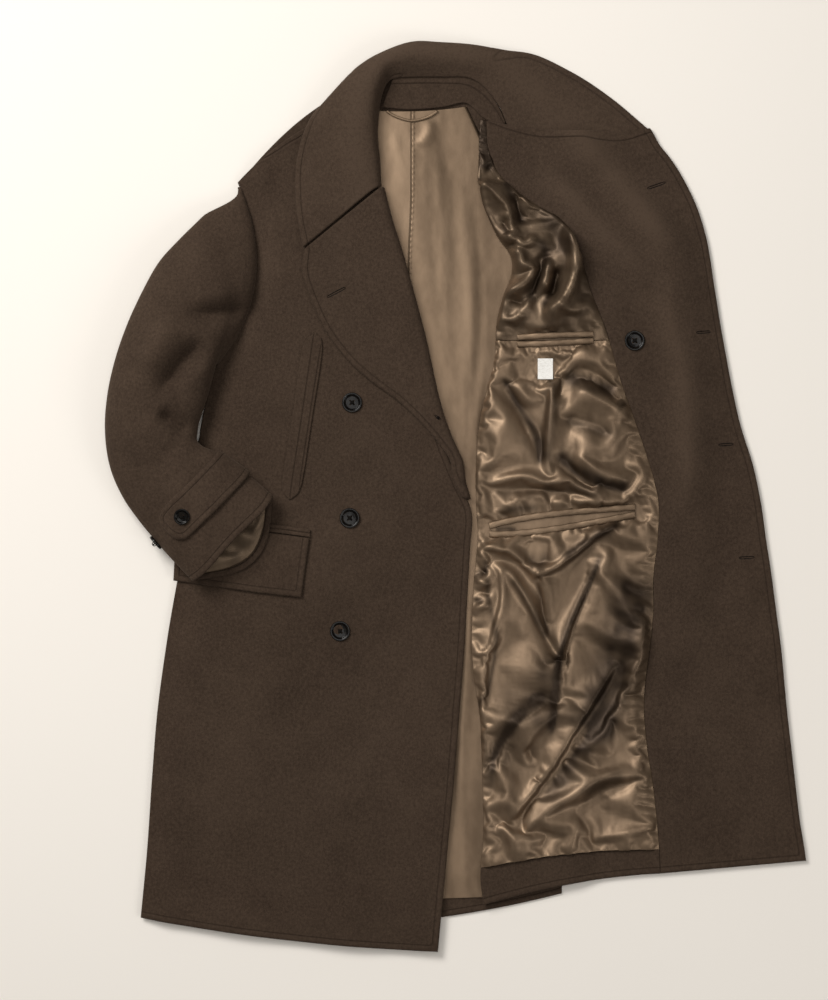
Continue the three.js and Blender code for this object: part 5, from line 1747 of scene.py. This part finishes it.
    def build_linings(self, lift: float) -> None:
        """Make the two linings, which fall into their folds.

        Args:
            lift: their height over the opened front's under side in mm.
        """
        reach = (0, self.sleeve_end)
        under = self.settled(reach, self.armhole_step, lift, self.armhole_settling, self.armhole_relief)
        satin = self.armhole_shaded_satin.material("satin_sleeve_left", with_painted_shading=True)
        cloth = Cloth("armhole_satin", under, STACK.satin, painted_shading=self.shade(under, self.armhole_painted_shades))
        lay(cloth, Dress(satin, Slot.SATIN, ("sleeve_lining_left",)))
        reach = (self.sleeve_end, self.hem_start)
        under = self.settled(reach, self.lining_step, lift, self.lining_settling, self.lining_relief)
        satin = self.satin.material("satin_front_left", with_painted_shading=True)
        cloth = Cloth("left_lining_satin", under, STACK.satin, painted_shading=self.shade(under, self.lining_painted_shades))
        lay(cloth, Dress(satin, Slot.SATIN, ("front_lining_left",)))

    @staticmethod
    def level(x: Array, y: Array, u: Array, v: Array) -> Array:
        """No creases."""
        return 0 * x

    @staticmethod
    def shade(under: Array, painted_shades: tuple[Crease, ...]) -> Array:
        """Painted shade on a lining's colour: how deep each place lies in the shade of its folds, from 0 to
        1.
        """
        x, y = under[..., 0], under[..., 1]
        return np.clip(creased(painted_shades, x, y) * (1 + 0.15 * rumple(x, y, size=20, seed=61)), 0, 0.95)

    def facing_relief(self, x: Array, y: Array, u: Array, v: Array) -> Array:
        """Broad ridges that the hidden sleeve and the pressed layers raise in the facing.

        Args:
            x: places across in mm.
            y: places up in mm.
            u: share across.
            v: share down; not used.

        Returns:
            Heights in mm.
        """
        border = ramp(u - 1, 0, 0.1) * ramp(2 - u, 0, 0.08)
        relief = creased(self.facing_folds, x, y) + 0.6 * rumple(x, y, size=80, seed=21)
        return np.maximum(relief, 0) * border

    def armhole_relief(self, x: Array, y: Array, u: Array, v: Array) -> Array:
        """Crumples where the left sleeve's lining sinks into its armhole.

        Args:
            x: places across in mm.
            y: places up in mm.
            u: share across.
            v: share down; not used.

        Returns:
            Heights in mm.
        """
        border = ramp(u, 0, 0.05) * ramp(1 - u, 0, 0.08)
        lifted = self.armhole_lift * ramp(y, 190, 240) * (1 - ramp(y, 395, 440))
        relief = lifted + creased(self.armhole_folds, x, y)
        return np.maximum(relief + 1.2 * rumple(x, y, size=34, seed=5), 0.3) * border * pocket_clear(x, y)

    def lining_relief(self, x: Array, y: Array, u: Array, v: Array) -> Array:
        """Folds of the front's lining, which falls into swags under its pockets.

        Args:
            x: places across in mm.
            y: places up in mm.
            u: share across.
            v: share down; not used.

        Returns:
            Heights in mm.
        """
        border = ramp(u, 0, 0.04) * ramp(1 - u, 0, 0.07)
        uneven = 1.3 * rumple(x, y, size=52, seed=7, stretch=2.2, turn=68)
        relief = self.lining_lift + creased(self.lining_folds, x, y) + uneven
        drawn = np.maximum(ramp(y, 10, 40) * (1 - ramp(y, 110, 140)), 1 - ramp(y, -250, -200))
        sway, swell = rumple(x, y, size=60, seed=9), rumple(x, y, size=45, seed=19)
        wave = np.sin(y * 2 * pi / self.pucker_long + 2.4 * sway) * (0.6 + 0.5 * swell)
        pucker = 1.2 * drawn * wave * ramp(1 - u, 0, 0.03) * (1 - ramp(1 - u, 0.04, 0.12))
        return (smooth_max(relief, 0 * x) * (relief > 0) + pucker + 0.3) * border * pocket_clear(x, y)


@dataclass(frozen=True)
class Mouth:
    """Mouth of an inner pocket between two places, in mm."""

    name: str
    start: tuple[float, float]
    end: tuple[float, float]
    lip: float
    gap: float
    bow: float


MOUTHS = (
    Mouth("upper", (75, 196), (170, 200), 7, 1, 0.8),
    Mouth("lower", (40, -40), (222, -16), 7.5, 1.5, 5.0),
)
LABEL_SPOT = (110.0, 161.0)


def pocket_clear(x: Array, y: Array) -> Array:
    """How far the lining is free of its inner pockets and the label.

    Args:
        x: places across in mm.
        y: places up in mm.

    Returns:
        1 away from them, 0 on them.
    """
    clear = np.ones(x.shape)
    for mouth in MOUTHS:
        signed, _, _ = near_line(x, y, np.array([mouth.start, mouth.end], float))
        clear = np.minimum(clear, ramp(np.abs(signed), mouth.lip + 2, mouth.lip + 15))
    return np.minimum(clear, ramp(np.hypot(x - LABEL_SPOT[0], y - LABEL_SPOT[1]), 14, 28))


@dataclass
class InnerPockets:
    """Welted pockets in the lining and the bare label between them."""

    satin: Satin = Satin(wrinkle=0.3)
    tape: Tape = Tape()
    lip_thick: float = 1.6
    lip_turn: float = 4.0
    lip_roll: float = 1.1
    bead_high: float = 0.35
    bead_long: float = 3.1
    label_wide: float = 19.0
    label_long: float = 26.0
    label_thick: float = 0.5
    label_curl: float = 1.4

    def build(self) -> None:
        """Make the lips of both pockets and the label."""
        material = self.satin.material("satin_lips")
        for mouth in MOUTHS:
            for name, side in (("top", 1), ("low", -1)):
                self.build_lip(mouth, name, side, material)
        self.build_label()

    @property
    def lift(self) -> float:
        """Height of what lies on the lining over the opened front's under side, in mm."""
        return STACK.wool + STACK.seam_gap + STACK.satin + STACK.lay_gap

    def build_lip(self, mouth: Mouth, name: str, side: int, material: bpy.types.Material) -> None:
        """Make one lip of a pocket.

        Args:
            mouth: the pocket's mouth.
            name: which lip.
            side: 1 for the lip above the mouth, -1 for the one below.
            material: its finish.
        """
        (start_x, start_y), (end_x, end_y) = mouth.start, mouth.end
        length = float(np.hypot(end_x - start_x, end_y - start_y))
        u, v = np.meshgrid(stations(length, 2.2), stations(mouth.lip, 1.0, (False, False)))
        near = mouth.gap / 2 if side > 0 else -mouth.gap / 2 - mouth.lip
        x = mix(start_x, end_x, u)
        bow = side * mouth.bow * np.sin(pi * np.clip(u, 0, 1) ** 0.7)
        y = mix(start_y, end_y, u) + near + mouth.lip * (1 - v) + bow
        roll = self.lip_roll * np.sin(np.clip(v, 0, 1) * pi) ** 0.7
        rim = (np.abs(v - 0.5) < 0.45) * ramp(np.abs(v - 0.5), 0.1, 0.4)
        bead = self.bead_high * np.sin(u * length / self.bead_long) * rim
        under = places(x, y, STACK.open_under(x, y) + self.lift + roll + bead)
        cloth = Cloth(f"lip_{mouth.name}_{name}", under, self.lip_thick)
        dress = Dress(material, Slot.SATIN, (f"inner_pocket_{mouth.name}_{name}",))
        lay(cloth, dress)

    def build_label(self) -> None:
        """Make the bare care label, whose foot curls up."""
        u, v = np.meshgrid(stations(self.label_wide, 1.5), stations(self.label_long, 1.5))
        x = LABEL_SPOT[0] + self.label_wide * (u - 0.5)
        y = LABEL_SPOT[1] + self.label_long * (0.5 - v)
        curl = self.label_curl * ramp(v, 0.55, 1.0) * (0.4 + 0.6 * u)
        cloth = Cloth("label_tape", places(x, y, STACK.open_under(x, y) + self.lift + curl), self.label_thick)
        dress = Dress(self.tape.material("tape_label"), Slot.LABEL, ("care_label",))
        lay(cloth, dress)


@dataclass
class Sleeves:
    """Right sleeve bent over the front, its lining, strap and cuff, and the left sleeve that lies hidden."""

    melton: Melton = Melton()
    satin: Satin = Satin(dark=(0.055, 0.036, 0.022, 1), light=(0.17, 0.118, 0.075, 1))
    rings: Rows = Rows(
        "ox oy ix iy bow_top bow_under high",
        (-278, 391, -302, 170, -34, -34, 10),
        (-316, 351, -303, 163, -26, -26, 34),
        (-344, 323, -304, 155, -19, -19, 46),
        (-370, 294, -306, 145, -12, -12, 52),
        (-391, 257, -309, 132, -5, -5, 55),
        (-410, 216, -313, 118, 0, 0, 56),
        (-425, 173, -317, 105, 4, 4, 56),
        (-435, 128, -321, 93, 6, 6, 55),
        (-438, 83, -323, 82, 6, 6, 53),
        (-432, 39, -323, 72, 6, 6, 50),
        (-416, 1, -316, 64, 5, 6, 47),
        (-393, -32, -299, 56, 3, 8, 44),
        (-371, -58, -276, 41, 2, 14, 41),
        (-349, -82, -251, 22, 2, 26, 38),
        (-328, -104, -228, 2, 2, 38, 35),
    )
    roundness: float = 1.3
    hidden_edge: float = 1.5
    body_edge: Ends = (-44, -10)
    flap_left: Ends = (-375, -345)
    flap_right: Ends = (-170, -140)
    flap_foot: Ends = (-150, -120)
    flap_head: Ends = (-8, 22)
    flap_lift: float = 2.4
    # crease depth in mm that gives full painted shade or painted highlight on the sleeve
    painted_shading_ridge: float = 32.0
    strap_from: float = 0.79
    strap_to: float = 0.905
    strap_end: float = 0.13
    strap_start: float = 0.5
    strap_thick: float = 3.5
    strap_long: float = 120.0
    strap_wide: float = 62.0
    strap_round: float = 0.035
    long: float = 640.0
    hidden_long: float = 470.0
    cells: int = 132
    lining_cells: int = 120
    lining_reach: Ends = (0.84, 0.985)
    head_swell: float = 3.0
    crumple_deep: float = 2.4
    creases: tuple[Crease, ...] = (
        Crease(((-308, 200), (-340, 172), (-354, 152), (-380, 116)), -19, 20, 12, 1.5, 0.3, 0.45),
        Crease(((-300, 172), (-330, 146), (-352, 124)), 4.5, 12, 12, 1.6),
        Crease(((-256, 236), (-292, 232), (-326, 226), (-346, 216)), -14, 16, 10, 1.5, 0.25, 0.5),
        Crease(((-270, 250), (-300, 250), (-334, 242)), 3, 12),
        Crease(((-338, 222), (-364, 200), (-394, 152)), 8, 17, 22),
        Crease(((-346, 142), (-344, 118), (-334, 98), (-322, 84)), -4, 4, 6, 1.5),
        Crease(((-334, 74), (-350, 92), (-372, 108)), -12, 9, 12),
        Crease(((-404, 168), (-414, 120), (-410, 60), (-392, 10)), 3.5, 20),
        Crease(((-376, 236), (-398, 190), (-406, 140)), -2.6, 15),
        Crease(((-392, 100), (-372, 84), (-350, 60)), 3, 14),
        Crease(((-424, 60), (-398, 44), (-370, 36)), -2.4, 12),
        Crease(((-300, 330), (-330, 296), (-352, 250)), 3, 26),
        Crease(((-420, 24), (-406, -2), (-390, -26)), -2.4, 7),
    )

    def rest(self, x: Array, y: Array, on_body: Array) -> Array:
        """Height that the sleeve lies on: the floor, then the front with its flap.

        Args:
            x: places across in mm.
            y: places up in mm.
            on_body: 0 where the sleeve lies beside the front, 1 where it lies on it.

        Returns:
            Heights in mm.
        """
        over_body = ramp(x - STACK.side_x(y), *self.body_edge)
        over_flap = ramp(x, *self.flap_left) * (1 - ramp(x, *self.flap_right))
        over_flap = over_flap * ramp(y, *self.flap_foot) * (1 - ramp(y, *self.flap_head))
        body = STACK.front_top(np.maximum(x, STACK.side_x(y) + 2), y) + 1
        body = body + over_flap * (STACK.wool + self.flap_lift)
        return body * over_body * on_body

    def surface(self, turn: Array, v: Array, inward: float = 0.0) -> Array:
        """Places on the sleeve.

        Args:
            turn: share round a ring, from its outer edge over its top and inner edge.
            v: share from the armhole to the cuff.
            inward: how far inside the outer side, in mm.

        Returns:
            Places, shaped as turn with three numbers each.
        """
        row = self.rings.at(v)
        chord_x, chord_y = row["ix"] - row["ox"], row["iy"] - row["oy"]
        chord = np.hypot(chord_x, chord_y)
        half = chord / 2 - inward
        across, lift = -np.cos(turn * 2 * pi), np.sin(turn * 2 * pi)
        bow = mix(row["bow_under"], row["bow_top"], (1 + lift) / 2) * (1 - across * across)
        y = (row["oy"] + row["iy"]) / 2 + chord_y / chord * half * across - chord_x / chord * bow
        free = (row["ox"] + row["ix"]) / 2 + chord_x / chord * half * across + chord_y / chord * bow
        x = mix(STACK.side_x(y) - 0.2, free, ramp(v, 0, 0.07))
        raised = ((1 + lift) / 2) ** self.roundness
        z = self.rest(x, y, ramp(v, 0.55, 0.68)) + inward + (row["high"] - 2 * inward) * raised
        over = np.maximum(lift, 0)
        head = ramp(v, 0.0, 0.05) * (1 - ramp(v, 0.05, 0.2)) * self.head_swell
        soft = 1.0 * rumple(x, y, size=70, seed=31) * ramp(v, 0.05, 0.2) * (1 - ramp(v, 0.74, 0.8))
        return places(x, y, z + (creased(self.creases, x, y) + soft + head) * over)

    def normal(self, turn: Array, v: Array) -> Array:
        """Outward directions on the sleeve.

        Args:
            turn: share round a ring.
            v: share from the armhole to the cuff.

        Returns:
            Unit directions, shaped as turn with three numbers each.
        """
        step = 1e-3
        along = self.surface(turn, np.minimum(v + step, 1)) - self.surface(turn, np.maximum(v - step, 0))
        across = self.surface(turn + step, v) - self.surface(turn - step, v)
        found = np.cross(along, across)
        return found / np.linalg.norm(found, axis=-1, keepdims=True)

    def build(self) -> None:
        """Make the sleeves' pieces."""
        turn, v = np.meshgrid(np.arange(self.cells) / self.cells, stations(self.long, 4.0))
        under = self.surface(turn, v, STACK.wool)
        dress = Dress(self.melton.material("melton_sleeve", True, with_painted_shading=True), Slot.WOOL, ("sleeve_right",))
        upper = np.sin(turn * 2 * pi) > 0
        # painted shading on the upper side: darker in the creases' troughs, lighter on their ridges
        nap = -creased(self.creases, under[..., 0], under[..., 1]) / self.painted_shading_ridge * upper
        cloth = Cloth("right_sleeve", under, STACK.wool, (Side.FOOT,), ring=True, painted_shading=nap)
        lay(cloth, dress)
        self.build_lining()
        self.build_strap()
        self.build_hidden()

    def build_lining(self) -> None:
        """Make the crumpled lining in the mouth of the cuff."""
        turns = np.arange(self.lining_cells) / self.lining_cells
        turn, v = np.meshgrid(turns, mix(*self.lining_reach, np.linspace(0, 1, 40)))
        inward = STACK.wool + 3 * STACK.lay_gap + STACK.satin
        under = self.surface(turn, v, inward)
        inside = -self.normal(turn, v)
        crumple = rumple(turn * 190, v * 560, size=15, seed=41, stretch=2.0, turn=80)
        depth = self.crumple_deep * (1 + crumple) * (1 - ramp(v, 0.965, 0.985))
        under = under + inside * np.maximum(depth, 0)[..., None]
        cloth = Cloth("cuff_satin", under, STACK.satin, ring=True)
        dress = Dress(self.satin.material("satin_cuff"), Slot.SATIN, ("sleeve_lining_right",))
        lay(cloth, dress)

    def strap_place(self, share: Array, side: Array) -> tuple[Array, Array]:
        """Place of the strap on the sleeve.

        Args:
            share: share along the strap from its free end.
            side: place across it, from -1 to 1.

        Returns:
            Turn and v on the sleeve.
        """
        middle, half = (self.strap_from + self.strap_to) / 2, (self.strap_to - self.strap_from) / 2
        turn = mix(self.strap_end + self.strap_round * side**4, self.strap_start, share)
        return turn, middle + side * half * (1 - 0.12 * (1 - share) ** 6)

    def build_strap(self) -> None:
        """Make the strap that goes round the cuff, with its rounded free end."""
        share, side = np.meshgrid(stations(self.strap_long, 2.4), 2 * stations(self.strap_wide, 2.4) - 1)
        turn, v = self.strap_place(share, side)
        under = self.surface(turn, v) + self.normal(turn, v) * 2 * STACK.lay_gap
        cloth = Cloth("cuff_strap", under, self.strap_thick, (Side.LEFT, Side.HEAD, Side.FOOT))
        dress = Dress(self.melton.material("melton_strap", True), Slot.WOOL, ("cuff_strap_right",))
        lay(cloth, dress)

    def build_hidden(self) -> None:
        """Make the left sleeve, flat under the opened front."""
        share, v = np.meshgrid(np.linspace(-1, 1, 41), stations(self.hidden_long, 9.0))
        rows = STACK.hidden_sleeve
        row, after, before = rows.at(v), rows.at(np.minimum(v + 0.01, 1)), rows.at(np.maximum(v - 0.01, 0))
        step_x, step_y = after["x"] - before["x"], after["y"] - before["y"]
        step = np.hypot(step_x, step_y)
        turn = ramp(v, 0, 0.2)
        aside_x, aside_y = mix(0, -step_y / step, turn), mix(1, step_x / step, turn)
        x, y = row["x"] + aside_x * row["half"] * share, row["y"] + aside_y * row["half"] * share
        thick = self.hidden_edge + (row["thick"] - self.hidden_edge) * np.sqrt(np.maximum(1 - share**4, 0))
        top = places(x, y, thick)
        cloth = Cloth("left_sleeve", top - grid_normals(top, False) * STACK.wool, STACK.wool)
        dress = Dress(self.melton.material("melton_left_sleeve"), Slot.WOOL, ("sleeve_left",))
        lay(cloth, dress)


def drop_on(piece: bpy.types.Object, x: float, y: float) -> float:
    """Height of a piece's upper side.

    Args:
        piece: the finished piece.
        x: place across in mm.
        y: place up in mm.

    Returns:
        The height in mm, or 0 beside the piece.
    """
    above = Vector(((x - MIDDLE[0]) * MM, (y - MIDDLE[1]) * MM, 1.0))
    hit, spot, _, _ = piece.ray_cast(above, Vector((0, 0, -1)))
    return spot.z / MM if hit else 0.0


@dataclass(frozen=True)
class Buttonhole:
    """Worked buttonhole on a piece, between two places in mm."""

    name: str
    piece: str
    start: tuple[float, float]
    end: tuple[float, float]
    wide: float = 5.2
    thick: float = 0.8
    lip_high: float = 0.75
    sunk: float = 0.35

    def build(self, material: bpy.types.Material) -> None:
        """Make the stitched lips round the slit, lying on their piece.

        Args:
            material: the thread's finish, with painted shade along the slit.
        """
        ground = bpy.data.objects[self.piece]
        start, end = np.array(self.start), np.array(self.end)
        long = float(np.linalg.norm(end - start))
        along = (end - start) / long
        aside = np.array([-along[1], along[0]])
        side, share = np.meshgrid(np.linspace(1, -1, 13), stations(long, 0.9))
        narrow = np.sqrt(np.maximum(1 - (2 * share - 1) ** 6, 0.02))
        spot = start + along * share[..., None] * long + aside * (side * narrow * self.wide / 2)[..., None]
        base = np.vectorize(lambda x, y: drop_on(ground, x, y))(spot[..., 0], spot[..., 1])
        lips = self.lip_high * np.exp(-(((np.abs(side) - 0.5) / 0.3) ** 2)) - self.sunk
        under = places(spot[..., 0], spot[..., 1], base + lips)
        slit = np.array([self.start, self.end], float)
        cloth = Cloth(self.name, under, self.thick, seams=(("slit", slit),))
        Dress(material, Slot.WOOL, ()).on(cloth.build())


# buttonhole thread; its slit is painted near black as the shade in the cut
HOLE_THREAD = Melton(
    dark=(0.0025, 0.0019, 0.0016, 1), light=(0.052, 0.037, 0.027, 1), sheen=0.0, seam_wide=1.6, seam_shade=1.0
)
BUTTONHOLES = (
    Buttonhole("hole_lapel", "lapel", (-162, 250), (-139, 262)),
    Buttonhole("hole_tick", "lapel", (-28, 103), (-20, 97), 3.4),
    Buttonhole("hole_edge_1", "left_facing", (237, 386), (260, 394)),
    Buttonhole("hole_edge_2", "left_facing", (298, 206), (316, 207.5)),
    Buttonhole("hole_edge_3", "left_facing", (326, 66), (345, 67.5)),
    Buttonhole("hole_edge_4", "left_facing", (352, -75), (371, -73.8)),
)


@dataclass
class Buttons:
    """Round black buttons with a raised rim, a dished middle and four holes sewn through.

    Lengths are in mm, the rest are shares of the button's radius.
    """

    horn: Horn = Horn()
    thread: Melton = Melton(dark=(0.003, 0.0022, 0.0018, 1), light=(0.01, 0.008, 0.006, 1), sheen=0)
    sides: int = 48
    shank: float = 1.8
    front: float = 25.0
    cuff: float = 20.0
    thick: float = 0.28
    rim: float = 0.2
    bevel: float = 0.07
    hole_out: float = 0.25
    hole: float = 0.1
    strand: float = 0.05

    def model(self, diameter: float) -> bpy.types.Object:
        """Model one button about the origin, facing up.

        Args:
            diameter: in mm.

        Returns:
            The button.
        """
        r = diameter / 2 * MM
        low, high = self.shank * MM, self.shank * MM + r * self.thick
        middle = (0, 0, (low + high) / 2)
        bpy.ops.object.select_all(action="DESELECT")
        bpy.ops.mesh.primitive_cylinder_add(vertices=self.sides, radius=r, depth=high - low, location=middle)
        button = bpy.context.object
        bpy.ops.object.mode_set(mode="EDIT")
        for up, insets in ((1.0, ((self.rim, 0), (0.12, 0.13), (0.3, 0.03))), (-1.0, ((self.rim, 0.08),))):
            self.pick_face(button, up)
            for inset, sink in insets:
                bpy.ops.mesh.inset(thickness=r * inset)
                bpy.ops.transform.translate(value=(0, 0, -r * sink))
        bpy.ops.object.mode_set(mode="OBJECT")
        bevel = button.modifiers.new("soft_rim", "BEVEL")
        bevel.width, bevel.segments, bevel.angle_limit = r * self.bevel, 3, 0.4
        bpy.ops.object.modifier_apply(modifier="soft_rim")
        self.drill(button, r)
        bpy.ops.object.shade_smooth_by_angle(angle=0.6)
        return button

    @staticmethod
    def pick_face(button: bpy.types.Object, up: float) -> None:
        """Select only the largest flat face that looks one way.

        Args:
            button: the object in edit mode.
            up: 1 for up, -1 for down.
        """
        bpy.ops.mesh.select_all(action="DESELECT")
        bpy.ops.object.mode_set(mode="OBJECT")
        flat = [face for face in button.data.polygons if face.normal.z * up > 0.9]
        max(flat, key=lambda face: face.area).select = True
        bpy.ops.object.mode_set(mode="EDIT")
        bpy.ops.mesh.select_mode(type="FACE")

    @staticmethod
    def joined(parts: list[bpy.types.Object]) -> bpy.types.Object:
        """Join parts into one object.

        Args:
            parts: the parts, of which the last is the active one.

        Returns:
            That last part, with the others in it.
        """
        for part in parts:
            part.select_set(True)
        bpy.ops.object.join()
        return bpy.context.object

    def drill(self, button: bpy.types.Object, r: float) -> None:
        """Cut the four holes with one joined cutter.

        Args:
            button: the button's disc.
            r: its radius in metres.
        """
        cutters = []
        for k in range(4):
            turn = pi / 4 + k * pi / 2
            out = r * self.hole_out
            spot = (out * np.cos(turn), out * np.sin(turn), self.shank * MM + r * 0.1)
            bpy.ops.object.select_all(action="DESELECT")
            bpy.ops.mesh.primitive_cylinder_add(vertices=16, radius=r * self.hole, depth=r, location=spot)
            cutters.append(bpy.context.object)
        cutter = self.joined(cutters)
        bpy.context.view_layer.objects.active = button
        holes = button.modifiers.new("holes", "BOOLEAN")
        holes.object, holes.operation = cutter, "DIFFERENCE"
        bpy.ops.object.modifier_apply(modifier="holes")
        bpy.data.objects.remove(cutter)

    def sewing(self, diameter: float) -> bpy.types.Object:
        """Model the crossed thread over the holes and the wound shank below.

        Args:
            diameter: the button's, in mm.

        Returns:
            The thread.
        """
        r = diameter / 2 * MM
        shank = self.shank * MM
        parts = []
        for turn in (pi / 4, -pi / 4):
            bpy.ops.object.select_all(action="DESELECT")
            bpy.ops.mesh.primitive_torus_add(
                major_segments=24, minor_segments=8, rotation=(pi / 2, 0, turn),
                major_radius=r * self.hole_out, minor_radius=r * self.strand,
                location=(0, 0, shank + r * 0.15 - r * 0.1),
            )
            parts.append(bpy.context.object)
        bpy.ops.object.select_all(action="DESELECT")
        middle = (0, 0, shank / 2)
        bpy.ops.mesh.primitive_cylinder_add(vertices=20, radius=r * 0.2, depth=shank, location=middle)
        thread = self.joined([*parts, bpy.context.object])
        bpy.ops.object.transform_apply(location=True, rotation=True, scale=True)
        bpy.ops.object.shade_smooth_by_angle(angle=0.9)
        return thread

    def build(self, sleeves: Sleeves) -> None:
        """Place a copy of the button at each place.

        Args:
            sleeves: the sleeve that carries the two cuff buttons.
        """
        horn, sewn = self.horn.material("horn_black"), self.thread.material("thread_dark")
        strap_turn = np.array(sleeves.strap_end + 0.07)
        strap_v = np.array((sleeves.strap_from + sleeves.strap_to) / 2)
        edge_out = sleeves.normal(np.array(0.0), strap_v) * np.array([1, 1, 0])
        ups = {
            "cuff_button_1": Vector(sleeves.normal(strap_turn, strap_v)),
            "cuff_button_2": Vector(edge_out).normalized(),
        }
        models = {size: (self.model(size), self.sewing(size)) for size in (self.front, self.cuff)}
        for name in ("front_button_1", "front_button_2", "front_button_3", "jigger_button", *ups):
            size = self.cuff if name in ups else self.front
            up = ups.get(name, Vector((0, 0, 1)))
            low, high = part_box(name)
            foot = (low + high) / 2 - up * (self.shank * MM + size / 2 * MM * self.thick) / 2
            turn = Vector((0, 0, 1)).rotation_difference(up).to_matrix().to_4x4()
            dresses = (Dress(horn, Slot.BUTTON, (name,)), Dress(sewn, Slot.WOOL, ()))
            for part, source, dress in zip(("disc", "thread"), models[size], dresses):
                mesh = source.data.copy()
                mesh.transform(turn)
                mesh.transform(turn.Translation(foot))
                dress.on(stand(f"{name}_{part}", mesh))
        for model in (part for pair in models.values() for part in pair):
            bpy.data.objects.remove(model)


@dataclass(frozen=True)
class Lamp:
    """Soft box that looks at the coat's middle; metres and watts."""

    name: str
    spot: tuple[float, float, float]
    size: tuple[float, float]
    power: float
    colour: tuple[float, float, float] = (1.0, 0.975, 0.94)

    def hang(self) -> None:
        """Put the lamp into the scene."""
        light = bpy.data.lights.new(self.name, "AREA")
        light.shape, light.energy, light.color = "RECTANGLE", self.power, self.colour
        light.size, light.size_y = self.size
        lamp = stand(self.name, light)
        lamp.location = self.spot
        lamp.rotation_euler = (-Vector(self.spot)).to_track_quat("-Z", "Y").to_euler()


@dataclass
class Studio:
    """Pale floor, soft lamps and the camera straight above the coat, in metres."""

    lamps: tuple[Lamp, ...] = (
        Lamp("key", (-1.7, 1.7, 2.2), (1.7, 1.3), 92),
        Lamp("fill", (2.1, -1.4, 2.0), (1.2, 1.5), 18),
        Lamp("top", (-0.1, 0.2, 3.2), (1.5, 1.7), 18),
    )
    floor_size: float = 8.0
    floor_low: float = -0.0006
    floor_colour: Colour = (0.89, 0.85, 0.795, 1)
    floor_shade: float = 0.985
    floor_patch: float = 0.4
    sky_colour: Colour = (1.0, 0.97, 0.93, 1)
    sky_strength: float = 0.2
    view_centre: tuple[float, float] = (-0.0529, -0.0043)
    view_long: float = 1.25
    camera_high: float = 4.0
    sensor: float = 36.0

    def build(self) -> None:
        """Make the floor, the lamps, the sky and the camera."""
        self.floor()
        for lamp in self.lamps:
            lamp.hang()
        world = bpy.data.worlds.new("studio")
        world.use_nodes = True
        sky = world.node_tree.nodes["Background"].inputs
        sky["Color"].default_value, sky["Strength"].default_value = self.sky_colour, self.sky_strength
        bpy.context.scene.world = world
        bpy.context.scene.view_settings.view_transform = "Standard"
        self.camera()

    def floor(self) -> None:
        """Lay the plain floor."""
        bpy.ops.object.select_all(action="DESELECT")
        bpy.ops.mesh.primitive_plane_add(size=self.floor_size, location=(0, 0, self.floor_low))
        floor = bpy.context.object
        floor.name = "floor"
        shader = Shader("floor_paper")
        shaded = (*(self.floor_shade * part for part in self.floor_colour[:3]), 1)
        shader.link("Base Color", shader.blend(shader.noise(self.floor_patch), self.floor_colour, shaded))
        shader.set(Roughness=0.9, Specular_IOR_Level=0.1)
        floor.data.materials.append(shader.material)

    def camera(self) -> None:
        """Hang the camera over the middle of the picture, looking straight down."""
        data = bpy.data.cameras.new("camera")
        data.sensor_width = self.sensor
        data.lens = self.sensor * self.camera_high / self.view_long
        camera = stand("camera", data)
        camera.location = (*self.view_centre, self.camera_high)
        bpy.context.scene.camera = camera


def main() -> None:
    """Build and dress every piece of the coat, then the studio round it."""
    logging.basicConfig(level=logging.INFO, format="%(name)s: %(message)s")
    sleeves = Sleeves()
    for part in (Back(), RightFront(), Collar(), OpenedFront(), InnerPockets(), sleeves):
        part.build()
    bpy.context.view_layer.update()
    worked = HOLE_THREAD.material("melton_holes", False, ("slit",))
    for hole in BUTTONHOLES:
        hole.build(worked)
    Buttons().build(sleeves)
    Studio().build()
    bpy.context.view_layer.update()


if __name__ == "__main__":
    main()
